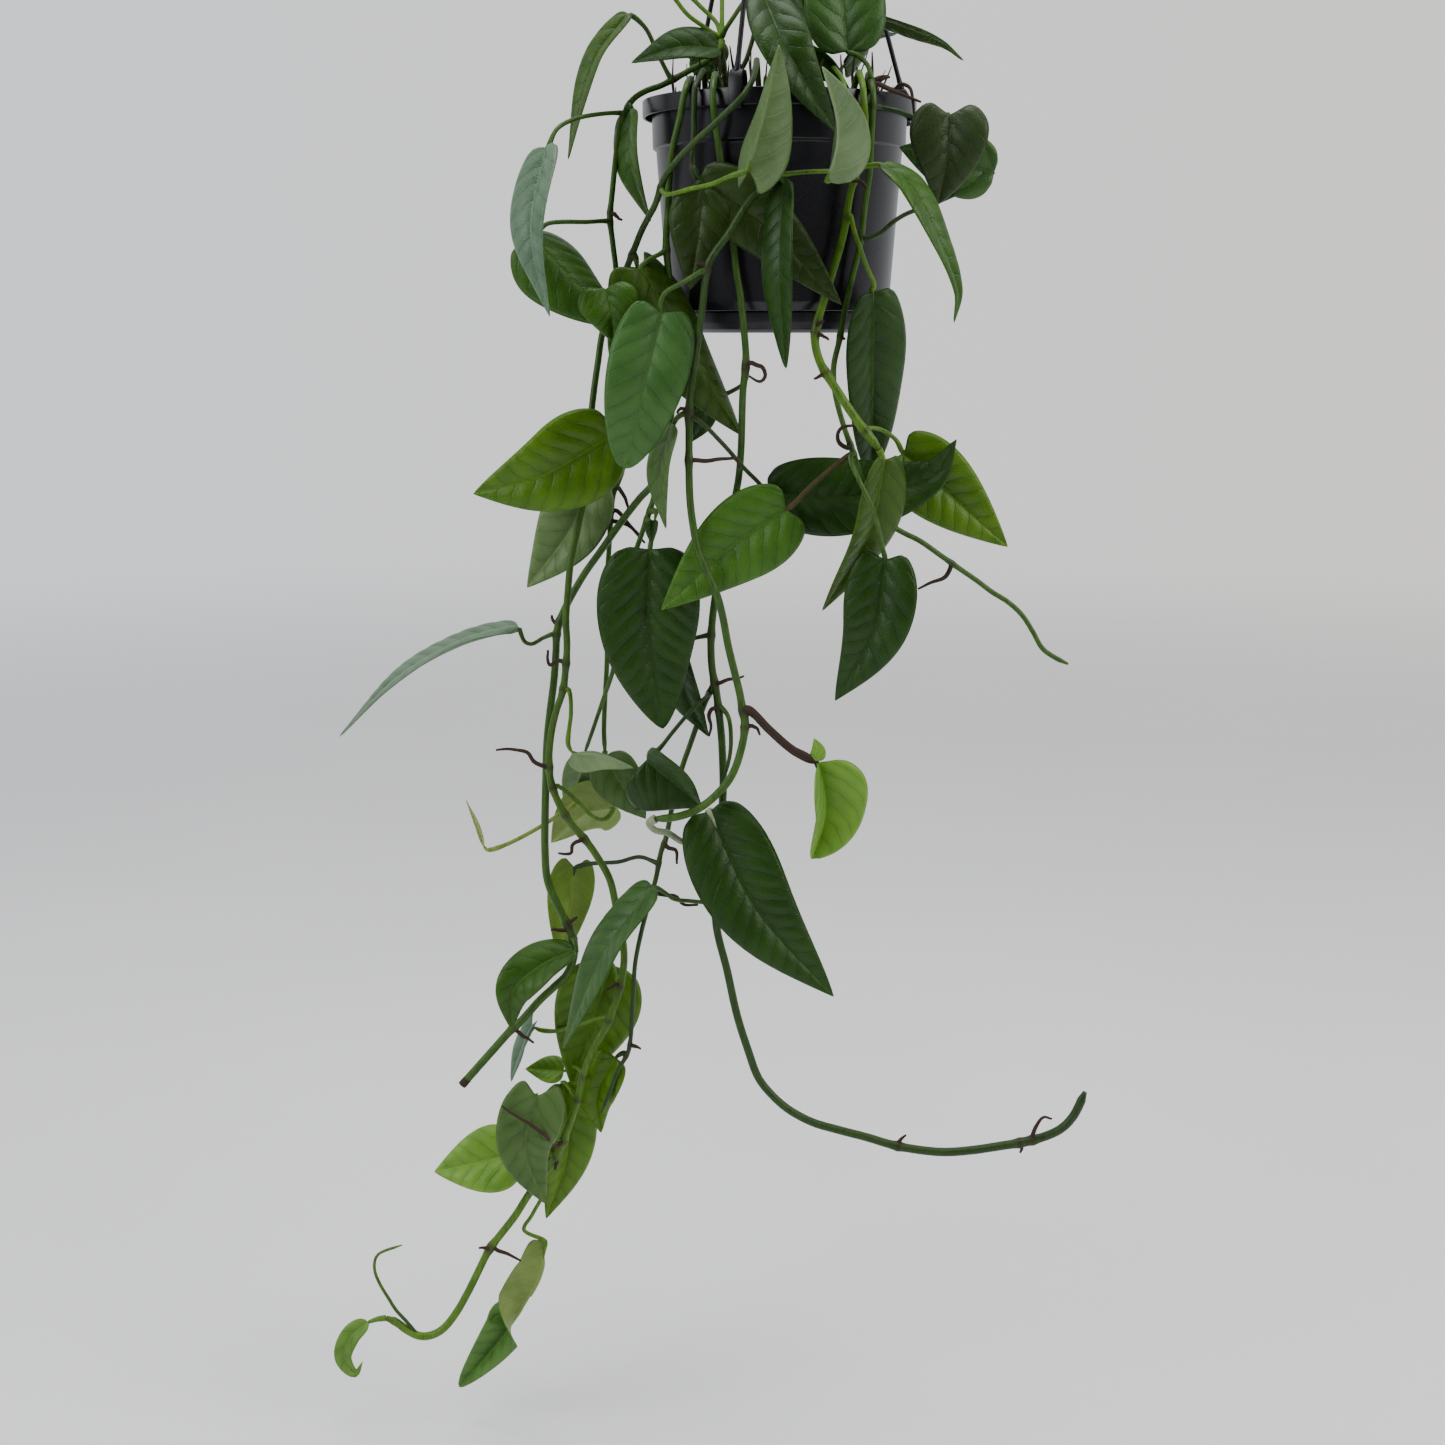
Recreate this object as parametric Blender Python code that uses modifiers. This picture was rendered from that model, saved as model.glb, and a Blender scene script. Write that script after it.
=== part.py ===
"""Hanging pot with a trailing cebu blue pothos.

Metres, +Z up. The origin is the point inside the hook where the hanger hangs.
The front of the pot faces -Y. The vines are laid out as the front view shows
them: pixels across and down in that view, and millimetres toward the viewer
from the pot's axis. The function seen() turns such a point into metres.
"""
import math

import bmesh
import bpy
from mathutils import Matrix, Vector

# Heights below the hook, in metres
RIM_Z = -0.2400
POT_HEIGHT = 0.1005
SOIL_DEPTH_BELOW_RIM = 0.0170

# Pot
RIM_RADIUS = 0.0670
RIM_SKIRT_HEIGHT = 0.0080
RIM_TOP_THICKNESS = 0.0014
BODY_TOP_RADIUS = 0.0625
STEP_RADIUS = 0.0610
STEP_BELOW_RIM = 0.0225
BODY_BOTTOM_RADIUS = 0.0540
POT_WALL = 0.0014
FOOT_RING_RADIUS = 0.0420
FOOT_RING_HEIGHT = 0.0085
STUD_HOLE_RADIUS = 0.0050
DRAIN_HOLE_RADIUS = 0.0032
DRAIN_RING_RADIUS = 0.0270
DRAIN_HOLES = 4
ROUND_STEPS = 24

# Saucer
SAUCER_RADIUS = 0.0464
SAUCER_HEIGHT = 0.0100
SAUCER_FLOOR = 0.0015
SAUCER_CORNER = 0.0050
STUD_RADIUS = 0.0042
STUD_HEAD_RADIUS = 0.0060
GAP = 0.0003

# Soil
SOIL_MOUND = 0.0050
STEM_HOLE_RADIUS = 0.0024
STEM_HOLE_DEPTH = 0.0160
SOIL_GAP = 0.0006

# Hanger
HOOK_WIRE_RADIUS = 0.0018
HOOK_LOOP_RADIUS = 0.0140
HOOK_OPEN_ANGLE = 200.0
HUB_RADIUS = 0.0065
HUB_HEIGHT = 0.0090
STRAND_RADIUS = 0.0012
STRAND_TOP_RADIUS = 0.0034
CLIP_WIDTH = 0.0064
CLIP_THICKNESS = 0.0012
CLIP_ARCH_ABOVE_RIM = 0.0080
ROUND_WIRE = 1
STRAND_ANGLES = {
    "hanger_strand_front": -19.0,
    "hanger_strand_right": 108.0,
    "hanger_strand_back": 221.0,
}

# Front view that the vines are laid out in
VIEW_CENTRE = 722.5
VIEW_FOCAL = 2000.0
VIEW_PITCH = math.radians(11.1)
VIEW_EYE_X = -0.0278
VIEW_DISTANCE = 1.0190
EYE_Z = RIM_Z - 0.1095

# Foliage
STALK_RADIUS = 0.0011
ROOT_RADIUS = 0.0007
STALK_END_SHARE = 0.08
STALK_END_RADIUS = 0.0003
STALK_OFF_RIB = Vector((0.00007, 0.00003, 0.00005))
BLADE_THICKNESS = 0.0008
BLADE_COLUMNS = 2
BLADE_ROWS_LONG = 5
BLADE_ROWS_SHORT = 4
SHORT_BLADE = 0.050
BLADE_FIRST_SHARE = 0.05
BLADE_WAVE = 0.030
WHOLE_LENGTH = (0.0, 1.0)
ROUTE_TOLERANCE = 0.0006
FOLIAGE_SOLVER = "MANIFOLD"

EYE = Vector((VIEW_EYE_X, -VIEW_DISTANCE, EYE_Z))
VIEW_FORWARD = Vector((0.0, math.cos(VIEW_PITCH), -math.sin(VIEW_PITCH)))
VIEW_UP = Vector((0.0, math.sin(VIEW_PITCH), math.cos(VIEW_PITCH)))
VIEW_RIGHT = Vector((1.0, 0.0, 0.0))
SOIL_Z = RIM_Z - SOIL_DEPTH_BELOW_RIM


def seen(points):
    """World places of points given as (across px, down px, toward mm) in the front view."""
    places = []
    for across, down, toward in points:
        ray = (VIEW_FORWARD
               + VIEW_RIGHT * ((across - VIEW_CENTRE) / VIEW_FOCAL)
               - VIEW_UP * ((down - VIEW_CENTRE) / VIEW_FOCAL))
        reach = (VIEW_DISTANCE - toward / 1000.0) / ray.y
        places.append(EYE + ray * reach)
    return places


def placed(points):
    """World places of points given in mm as (right of axis, toward viewer, above rim)."""
    return [Vector((x / 1000.0, -toward / 1000.0, RIM_Z + up / 1000.0)) for x, toward, up in points]


def rooted(x, toward):
    """The upright foot of a stem, from down in its hole to just above the soil, in mm."""
    foot = Vector((x / 1000.0, -toward / 1000.0, SOIL_Z))
    deep = foot + Vector((0.0, 0.0, -STEM_HOLE_DEPTH + 0.002))
    return [deep, foot + Vector((0.0, 0.0, 0.008))]


# Vines. Each has the foot's place in mm (right, toward), the stem's radius at
# its foot and end in mm, the route of the stem, side stems, air roots, and its
# leaves: stalk, midrib, blade width in mm, roll at base and tip in degrees (0
# shows the upper face, 180 the underside), fold of each half in degrees, and
# how far the lobes reach back. Some leaves also say between which shares of
# the midrib they turn, or how full and blunt they are, from 0 to 1.
VINES = {
    "vine_left_short": {
        "foot": (-28, 10),
        "radii": (1.5, 1.3),
        "stem": [(722, 56, 10), (700, 65, 11), (685, 73, 11), (672, 80, 12), (660, 86, 12),
                 (648, 90, 12), (637, 96, 13), (630, 103, 13), (626, 111, 14), (621, 122, 14),
                 (618, 140, 14), (615, 165, 14), (612, 195, 14), (610, 218, 14), (613, 245, 14),
                 (616, 275, 14), (612, 310, 14), (610, 340, 13), (614, 370, 12), (620, 400, 12),
                 (625, 440, 11), (622, 472, 10), (614, 492, 10), (611, 515, 10), (609, 550, 10),
                 (607, 580, 10), (607, 620, 10), (607, 660, 10), (605, 700, 10), (604, 730, 10),
                 (605, 752, 10)],
        "roots": [
            [(620, 490, 12), (626, 500, 13), (629, 512, 14)],
            [(617, 511, 12), (627, 522, 14), (640, 535, 15)],
            [(628, 525, 14), (645, 543, 15)],
        ],
        "leaves": [
            ([(671, 79, 12), (657, 52, 13), (648, 32, 14), (640, 22, 15)],
             [(629, 14, 16), (595, 62, 22), (568, 160, 24)], 20, 62, 62, 14, 0.06),
            ([(623, 113, 14), (600, 114, 22), (575, 119, 32), (557, 129, 41)],
             [(547, 147, 46), (532, 232, 64), (550, 317, 66)], 30, 54, 54, 12, 0.06),
            ([(629, 106, 15)],
             [(631, 110, 16), (632, 165, 20), (651, 222, 18)], 27, 62, 62, 12, 0.05),
            ([(606, 221, 17), (585, 222, 27), (560, 222, 35), (545, 225, 39)],
             [(534, 240, 42), (581, 289, 47), (629, 329, 49)], 41, -30, -30, -26, 0.14),
            ([(605, 300, 20), (596, 299, 38), (593, 294, 52)],
             [(605, 289, 59), (611, 314, 61), (614, 343, 59)], 29, 0, 0, 8, 0.16),
            ([(618, 412, 20), (613, 421, 30)],
             [(611, 436, 36), (547, 474, 43), (473, 494, 38)], 45, -8, -8, 8, 0.10),
            ([(608, 484, 12), (599, 479, 13)],
             [(593, 480, 13), (569, 532, 14), (527, 588, 11)], 38, 16, 16, 14, 0.08),
            ([(605, 753, 11)],
             [(605, 756, 11), (622, 785, 14), (646, 819, 14)], 27, 16, 16, 8, 0.06),
        ],
    },
    "vine_left_long": {
        "foot": (-10, 30),
        "radii": (1.4, 2.2),
        "stem": [(757, 62, 36), (756, 66, 48), (754, 74, 60), (751, 83, 69), (743, 96, 74),
                 (728, 111, 73), (709, 129, 70), (700, 137, 67), (690, 147, 64), (680, 157, 61),
                 (672, 167, 59), (665, 177, 56), (661, 187, 54), (655, 205, 50), (648, 218, 45),
                 (641, 232, 41), (635, 247, 36), (629, 262, 30), (620, 285, 25), (609, 312, 22),
                 (602, 335, 22), (598, 362, 23), (594, 390, 24), (590, 425, 26), (585, 465, 28),
                 (583, 500, 29), (577, 530, 30), (571, 560, 31), (568, 590, 31), (566, 620, 31),
                 (567, 645, 30), (566, 665, 29), (563, 690, 28), (556, 712, 27), (551, 735, 26),
                 (549, 760, 26), (551, 782, 26), (560, 806, 27), (572, 825, 27), (587, 842, 27),
                 (600, 861, 27), (610, 880, 27), (616, 906, 26), (622, 935, 26), (624, 962, 26),
                 (619, 990, 26), (608, 1022, 27), (595, 1046, 28), (584, 1074, 28), (577, 1102, 28),
                 (568, 1128, 28), (561, 1148, 27), (547, 1170, 25), (529, 1194, 25), (515, 1216, 26),
                 (501, 1234, 26), (489, 1250, 26), (478, 1272, 27), (467, 1294, 28), (456, 1313, 28),
                 (444, 1328, 29), (432, 1335, 29), (420, 1336, 30), (407, 1330, 30), (396, 1322, 30),
                 (386, 1318, 30)],
        "side_stems": [
            (0.0011, [(420, 1334, 30), (407, 1322, 31), (396, 1310, 31), (389, 1299, 31), (381, 1286, 31),
                      (375, 1272, 31), (375, 1260, 31), (380, 1253, 31), (402, 1245, 31)]),
        ],
        "roots": [
            [(558, 661, 28), (550, 665, 27), (547, 658, 26), (548, 650, 25)],
            [(545, 767, 27), (535, 762, 28), (528, 753, 29), (518, 750, 30), (508, 749, 30), (496, 750, 31)],
            [(581, 841, 30), (572, 845, 31), (571, 853, 32), (558, 853, 33)],
            [(556, 1146, 34), (542, 1133, 45), (522, 1119, 47), (502, 1106, 47)],
            [(497, 1250, 28), (508, 1254, 30), (521, 1261, 31)],
        ],
        "leaves": [
            ([(664, 193, 56), (672, 194, 62), (690, 189, 70), (712, 184, 78), (731, 176, 87)],
             [(748, 171, 90), (765, 112, 92), (779, 44, 92)], 34, 132, 134, 24, 0.24),
            ([(635, 256, 34)],
             [(637, 267, 28), (640, 310, 22), (640, 350, 20)], 26, 6, 6, 10, 0.10),
            ([(569, 690, 29), (571, 712, 30), (568, 743, 31)],
             [(572, 753, 31), (605, 757, 34), (634, 768, 36)], 24, 118, 118, 20, 0.10),
            ([(558, 786, 24), (578, 802, 17), (595, 818, 10), (606, 819, 6)],
             [(615, 806, 4), (585, 814, 2), (551, 843, 0)], 36, 140, 140, 10, 0.08),
            ([(575, 803, 10), (562, 812, 8), (548, 822, 8), (520, 838, 9), (500, 847, 10), (488, 850, 10)],
             [(484, 847, 10), (477, 825, 10), (465, 798, 9)], 3, 0, 0, 20, 0.0),
            ([(618, 982, 20), (615, 972, 14)],
             [(611, 964, 9), (591, 1026, 9), (572, 1088, 7)], 46, 0, 0, 10, 0.06),
            ([(605, 1017, 26), (577, 1025, 20), (556, 1031, 14), (540, 1030, 10)],
             [(533, 1027, 9), (520, 1056, 8), (511, 1082, 8)], 22, 74, 60, 14, 0.30),
            ([(580, 1070, 18), (572, 1066, 8)],
             [(564, 1071, 2), (546, 1070, 1), (525, 1069, 1)], 17, 24, 24, 10, 0.06),
            ([(556, 1140, 29), (541, 1115, 33), (533, 1100, 37)],
             [(537, 1095, 38), (525, 1148, 41), (545, 1204, 38)], 34, -8, -8, 8, 0.20),
            ([(545, 1152, 26), (525, 1153, 24)],
             [(515, 1154, 24), (475, 1163, 26), (434, 1172, 24)], 36, 6, 6, 8, 0.12),
            ([(573, 1095, 22), (566, 1084, 16)],
             [(563, 1083, 14), (567, 1152, 16), (546, 1219, 13)], 32, -20, -20, 10, 0.08),
            ([(543, 1192, 24), (532, 1215, 23), (524, 1230, 23)],
             [(544, 1241, 24), (541, 1270, 28), (524, 1305, 30), (498, 1343, 30), (459, 1387, 28)],
             30, 128, 12, 34, 0.07, {"turn": (0.38, 0.54), "full": 0.6}),
            ([(378, 1319, 31)],
             [(368, 1322, 31), (352, 1336, 34), (344, 1357, 36), (355, 1373, 36), (363, 1361, 34)],
             12.5, 20, 20, 20, 0.04),
        ],
    },
    "vine_left_slim": {
        "foot": (-46, 14),
        "radii": (1.5, 2.2),
        "stem": [(691, 80, 36), (688, 82, 46), (686, 88, 52), (683, 100, 54), (680, 118, 53),
                 (675, 138, 52), (671, 160, 50), (669, 185, 48), (668, 212, 47), (666, 240, 46),
                 (668, 268, 42), (672, 300, 37), (675, 330, 33), (676, 360, 32), (673, 400, 33),
                 (665, 445, 34), (653, 483, 33), (640, 498, 31), (628, 513, 29), (614, 532, 26),
                 (600, 552, 23), (585, 573, 20), (572, 595, 18), (562, 615, 16), (557, 632, 16),
                 (556, 652, 15), (554, 680, 15), (550, 712, 15), (547, 742, 15), (546, 775, 16),
                 (545, 820, 16), (545, 850, 16), (547, 878, 16), (553, 896, 17), (562, 914, 18),
                 (572, 936, 19), (574, 955, 20), (567, 974, 20), (555, 986, 20), (540, 1000, 21),
                 (522, 1020, 22), (511, 1030, 22), (494, 1049, 22), (478, 1067, 22), (463, 1084, 22)],
        "side_stems": [
            (0.0015, [(668, 432, 35), (660, 468, 36), (653, 500, 35), (643, 530, 34), (630, 570, 33),
                      (619, 630, 32), (613, 670, 29), (603, 700, 23), (590, 738, 12), (585, 752, 7)]),
        ],
        "roots": [
            [(518, 1032, 23), (534, 1043, 24)],
        ],
        "leaves": [
            ([(660, 254, 48), (650, 259, 50)],
             [(641, 268, 53), (689, 350, 52), (742, 436, 42)], 47, -33, -33, -27, 0.15),
            ([(553, 634, 17), (543, 638, 17), (532, 644, 18), (525, 642, 18), (521, 634, 18)],
             [(519, 628, 18), (460, 645, 24), (400, 679, 28), (339, 737, 28)], 40, 80, 80, 8, 0.05),
            ([(574, 940, 23)],
             [(576, 951, 26), (541, 966, 30), (514, 990, 32), (511, 1030, 30)], 28, 60, -18, 14, 0.04),
            ([(652, 525, 40), (651, 542, 44)],
             [(650, 549, 46), (649, 640, 47), (663, 729, 47)], 51, 0, 0, 8, 0.08,
             {"full": 0.4}),
            ([(585, 755, 7)],
             [(586, 758, 6), (577, 785, 3), (566, 818, 0)], 20, 190, 190, 10, 0.05),
            ([(656, 512, 39)],
             [(654, 520, 43), (652, 545, 52)], 8, 30, 30, 25, 0.0),
        ],
    },
    "vine_front": {
        "foot": (8, 36),
        "radii": (1.6, 2.0),
        "stem": [(790, 68, 44), (788, 75, 56), (787, 77, 64), (786, 84, 70), (785, 95, 71),
                 (785, 115, 72), (784, 140, 73), (781, 160, 74), (778, 176, 73), (766, 187, 72),
                 (752, 198, 72), (740, 215, 72), (728, 235, 71), (715, 252, 70), (708, 266, 69),
                 (705, 285, 67), (702, 312, 64), (698, 340, 61), (693, 372, 58), (690, 395, 57),
                 (689, 412, 56), (689, 440, 56), (689, 470, 57), (690, 500, 58), (693, 525, 59),
                 (698, 550, 60), (707, 572, 60), (717, 595, 60), (723, 618, 58), (728, 645, 57),
                 (734, 670, 56), (739, 690, 55), (742, 706, 55), (745, 724, 56), (741, 750, 58),
                 (731, 777, 60), (714, 797, 61), (696, 810, 61), (676, 817, 61), (655, 819, 60)],
        "leaves": [
            ([(781, 177, 73)],
             [(784, 182, 74), (780, 272, 86), (786, 369, 74)], 28, 60, 54, 8, 0.05, {"full": 0.4}),
            ([(785, 174, 74), (805, 172, 74), (830, 171, 72), (855, 169, 72), (872, 165, 74)],
             [(882, 164, 76), (909, 186, 82), (936, 235, 82), (957, 290, 76), (954, 323, 70)],
             23, -62, -62, 8, 0.05),
            ([(700, 272, 70), (682, 283, 67), (665, 293, 65), (660, 306, 64)],
             [(662, 312, 63), (643, 388, 67), (624, 469, 60)], 39, -4, -4, 6, 0.11,
             {"full": 0.8}),
            ([(683, 414, 55), (677, 418, 53)],
             [(673, 423, 52), (661, 475, 52), (666, 529, 50)], 26, 62, 62, 10, 0.04),
            ([(697, 419, 57), (722, 443, 53), (744, 468, 46), (758, 482, 40)],
             [(768, 493, 36), (852, 497, 36), (930, 477, 40), (957, 439, 48)], 39, -4, -14, 8, 0.07),
            ([(750, 712, 55), (768, 730, 55), (792, 751, 54), (808, 759, 54)],
             [(817, 762, 54), (824, 813, 50), (811, 859, 54)], 44, -38, -38, 40, 0.06, {"full": 0.7}),
            ([(751, 710, 57), (769, 728, 57), (793, 749, 56), (808, 757, 56)],
             [(817, 761, 55), (818, 750, 56), (814, 738, 56)], 8, 0, 0, 10, 0.0),
            ([(649, 823, 58), (655, 830, 55), (668, 833, 50), (685, 842, 46), (700, 832, 46),
              (707, 820, 49)],
             [(709, 811, 52), (757, 909, 62), (834, 997, 62)], 45, 4, 4, 8, 0.08),
        ],
    },
    "vine_middle_long": {
        "foot": (-26, 40),
        "radii": (1.5, 2.4),
        "stem": [(716, 76, 46), (714, 79, 56), (713, 88, 62), (713, 100, 64), (715, 120, 62),
                 (718, 142, 58), (722, 170, 57), (727, 200, 57), (731, 225, 57), (734, 250, 57),
                 (737, 275, 57), (741, 300, 58), (744, 330, 58), (746, 362, 56), (743, 390, 54),
                 (742, 420, 48), (741, 450, 43), (738, 482, 39), (728, 530, 37), (720, 570, 36),
                 (714, 605, 36), (711, 640, 36), (712, 668, 36), (716, 690, 36), (719, 712, 36),
                 (722, 745, 36), (723, 795, 36), (718, 850, 36), (715, 900, 36), (717, 930, 36),
                 (727, 970, 36), (737, 1015, 36), (748, 1050, 36), (758, 1077, 36), (771, 1094, 37),
                 (788, 1109, 37), (812, 1122, 38), (839, 1130, 38), (866, 1137, 39), (893, 1145, 39),
                 (920, 1150, 40), (946, 1152, 40), (973, 1150, 40), (1000, 1146, 40),
                 (1024, 1142, 40), (1046, 1136, 40), (1062, 1128, 40), (1074, 1115, 40),
                 (1085, 1092, 40)],
        "side_stems": [
            (0.0015, [(712, 682, 36), (706, 700, 33), (698, 722, 30), (690, 745, 30), (682, 768, 32),
                      (672, 808, 34), (666, 838, 34), (661, 852, 34), (656, 878, 34), (648, 906, 34),
                      (640, 938, 34), (635, 965, 33), (633, 1000, 32), (629, 1049, 32), (619, 1069, 32),
                      (610, 1092, 32), (602, 1112, 32)]),
            (0.0013, [(720, 703, 38), (728, 716, 40), (731, 738, 41), (729, 760, 42), (722, 783, 43)]),
        ],
        "roots": [
            [(751, 363, 58), (757, 366, 59), (763, 368, 60), (765, 376, 60), (760, 381, 60), (749, 376, 60)],
            [(720, 683, 38), (728, 680, 39), (744, 676, 40)],
            [(712, 708, 38), (709, 714, 39), (711, 728, 40), (709, 736, 40)],
            [(668, 848, 36), (676, 850, 37), (677, 864, 38)],
            [(1032, 1136, 41), (1037, 1125, 42), (1044, 1117, 43), (1052, 1119, 43)],
        ],
        "leaves": [
            ([(746, 367, 53), (747, 376, 45), (742, 385, 35), (728, 393, 29), (713, 399, 27)],
             [(706, 402, 27), (699, 421, 26), (688, 444, 26)], 16, 10, 10, 10, 0.06),
            ([(704, 636, 35), (690, 640, 33)],
             [(675, 652, 31), (688, 697, 33), (709, 737, 32)], 27, 50, 50, 10, 0.06),
            ([(706, 697, 41), (690, 712, 45), (672, 733, 48), (660, 748, 48)],
             [(647, 759, 47), (674, 781, 50), (702, 807, 49)], 50, 46, 46, 26, 0.12),
            ([(640, 857, 26), (618, 862, 16), (600, 863, 12), (588, 864, 10)],
             [(575, 867, 9), (568, 913, 8), (560, 966, 5)], 25, 172, 172, 12, 0.16),
            ([(706, 902, 38), (690, 901, 42), (674, 899, 45), (664, 892, 48)],
             [(654, 887, 50), (608, 948, 56), (563, 1049, 48)], 38, 62, 62, 8, 0.06),
            ([(624, 1053, 29)],
             [(616, 1057, 25), (597, 1096, 21), (601, 1133, 19)], 26, 24, 24, 12, 0.08),
        ],
    },
    "vine_rim_leaves": {
        "foot": (-36, 28),
        "radii": (1.5, 1.4),
        "stem": [(704, 72, 40), (699, 79, 50), (695, 88, 57), (694, 110, 58), (694, 130, 58),
                 (693, 152, 58), (693, 170, 59), (697, 182, 60)],
        "leaves": [
            ([(693, 166, 59)],
             [(700, 178, 61), (765, 226, 63), (842, 305, 61)], 31, 0, 0, 3, 0.08),
            ([(699, 184, 61)],
             [(703, 188, 62), (698, 238, 63), (690, 290, 61)], 29, 0, 0, 3, 0.06),
        ],
    },
    "vine_right_inner": {
        "foot": (32, 30),
        "radii": (1.35, 2.2),
        "stem": [(858, 74, 42), (861, 78, 52), (863, 88, 58), (864, 100, 60), (865, 118, 59),
                 (864, 140, 57), (859, 166, 56), (852, 186, 57), (848, 206, 57), (845, 226, 57),
                 (840, 247, 57), (834, 267, 57), (828, 287, 57), (822, 306, 57), (817, 324, 58),
                 (815, 342, 59), (820, 362, 60), (829, 378, 61), (838, 392, 62), (847, 406, 62),
                 (856, 419, 62), (864, 430, 62), (872, 440, 62), (879, 449, 61)],
        "roots": [
            [(854, 180, 59), (861, 182, 60), (867, 188, 60)],
        ],
        "leaves": [
            ([(850, 215, 59), (854, 230, 60), (860, 248, 60), (868, 270, 57), (874, 284, 53)],
             [(873, 291, 50), (872, 380, 38), (871, 472, 20)], 36, -38, -38, 10, 0.07,
             {"full": 0.8}),
            ([(881, 454, 60)],
             [(884, 459, 61), (869, 530, 57), (822, 611, 52)], 34, -52, -52, 12, 0.10),
            ([(868, 428, 50), (882, 430, 36), (896, 440, 31)],
             [(903, 453, 30), (951, 496, 30), (1008, 547, 29)], 38, 0, 0, 8, 0.14),
        ],
    },
    "vine_right_outer": {
        "foot": (42, 16),
        "radii": (1.6, 1.3),
        "stem": [(868, 76, 34), (870, 79, 44), (872, 85, 53), (873, 95, 56), (872, 122, 55),
                 (871, 145, 53), (870, 168, 51), (867, 192, 50), (864, 212, 50), (862, 232, 50),
                 (858, 254, 50), (852, 278, 50), (847, 300, 50), (843, 320, 50), (839, 342, 50),
                 (834, 364, 50), (834, 385, 50), (838, 406, 50), (845, 430, 50), (853, 452, 50),
                 (860, 474, 49), (870, 500, 48), (885, 521, 46), (902, 532, 44), (920, 541, 43),
                 (940, 555, 41), (960, 569, 39), (976, 580, 38), (992, 592, 37), (1008, 602, 37),
                 (1022, 615, 36), (1033, 632, 36), (1042, 648, 36), (1054, 657, 36), (1068, 664, 36)],
        "roots": [
            [(875, 80, 47), (880, 77, 46), (889, 76, 46)],
            [(877, 84, 53), (890, 90, 51), (905, 95, 48), (921, 102, 46)],
            [(848, 448, 52), (839, 442, 54), (837, 434, 55), (842, 427, 56), (852, 425, 56), (858, 427, 55)],
            [(945, 577, 40), (930, 583, 42), (918, 589, 43)],
        ],
        "leaves": [
            ([(871, 77, 50), (868, 66, 48), (860, 57, 46), (852, 53, 45)],
             [(848, 52, 44), (842, -20, 40), (836, -100, 30)], 39, 8, 8, 10, 0.08),
            ([(880, 107, 53), (897, 111, 54), (914, 117, 54), (932, 118, 55)],
             [(950, 114, 56), (947, 160, 57), (938, 205, 54)], 37, 0, 0, 8, 0.20),
            ([(870, 238, 51), (882, 232, 51), (892, 223, 51), (906, 214, 50), (930, 205, 48),
              (960, 192, 46), (985, 178, 44)],
             [(994, 173, 44), (950, 162, 46), (899, 147, 44)], 30, 0, 0, 8, 0.06),
            ([(845, 458, 50), (825, 474, 51), (805, 492, 51), (796, 502, 51)],
             [(787, 509, 50), (729, 549, 51), (661, 610, 56)], 42, -6, -6, 8, 0.12),
            ([(851, 456, 57), (852, 465, 72), (859, 480, 78), (873, 510, 78), (880, 535, 72),
              (883, 550, 65)],
             [(885, 559, 62), (874, 632, 62), (835, 701, 54)], 36, 4, 4, 12, 0.12),
        ],
    },
    "shoot_crown_left": {
        "foot": (-18, 20),
        "radii": (1.6, 1.3),
        "stem": [(727, 88, 22), (725, 76, 24), (723, 62, 26), (722, 48, 28), (722, 36, 28)],
        "side_stems": [
            (0.0013, [(726, 82, 23), (742, 68, 26), (751, 45, 28), (757, 20, 30), (764, -10, 30)]),
        ],
        "leaves": [
            ([(721, 42, 29)],
             [(719, 49, 31), (678, 48, 36), (631, 63, 34)], 24, 50, 50, 14, 0.06),
            ([(718, 36, 28), (703, 26, 29), (688, 15, 30), (676, 0, 30)],
             [(664, -20, 30), (632, -50, 34), (600, -92, 34)], 32, 20, 20, 10, 0.08),
            ([(716, 22, 26), (702, 8, 24), (690, -4, 22)],
             [(680, -14, 20), (660, -60, 18), (640, -112, 10)], 36, -20, -20, 10, 0.08),
            ([(722, 20, 26), (722, 0, 22)],
             [(722, -20, 18), (710, -70, 14), (695, -122, 2)], 30, 10, 10, 10, 0.08),
            ([(727, 27, 34), (733, 18, 38), (741, 6, 40), (750, -6, 43), (757, -9, 52)],
             [(762, -7, 61), (790, 56, 78), (837, 134, 62)], 26, -22, -22, 10, 0.05),
        ],
    },
    "shoot_crown_right": {
        "foot": (14, 2),
        "radii": (1.6, 1.3),
        "stem": [(800, 74, 4), (808, 60, 4), (818, 52, 4), (832, 48, 2), (846, 40, 2), (856, 28, 4)],
        "leaves": [
            ([(797, 67, 9), (794, 58, 17), (796, 52, 22)],
             [(802, 50, 26), (826, 66, 28), (850, 90, 27)], 20, 50, 50, 10, 0.08),
            ([(806, 50, 2), (808, 42, 0)],
             [(812, 36, -2), (800, -4, -8), (778, -52, -14)], 30, 16, 16, 10, 0.08),
            ([(861, 18, 6)],
             [(868, 13, 8), (905, 26, 16), (943, 42, 22), (964, 61, 24)], 19, 70, 70, 10, 0.05),
            ([(826, 60, 14), (836, 70, 40), (844, 84, 70), (846, 110, 82), (844, 150, 84), (834, 176, 86)],
             [(827, 182, 88), (837, 148, 92), (837, 118, 93), (822, 66, 90)], 30, 132, 128, 34, 0.03),
            ([(798, 60, 2), (790, 30, 4), (778, 6, 8)],
             [(770, -8, 10), (778, -60, 6), (792, -112, -6)], 29, 10, 10, 10, 0.08),
        ],
    },
}


def clear_scene():
    for thing in list(bpy.data.objects):
        bpy.data.objects.remove(thing, do_unlink=True)


def collection(name):
    group = bpy.data.collections.new(name)
    bpy.context.scene.collection.children.link(group)
    return group


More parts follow.
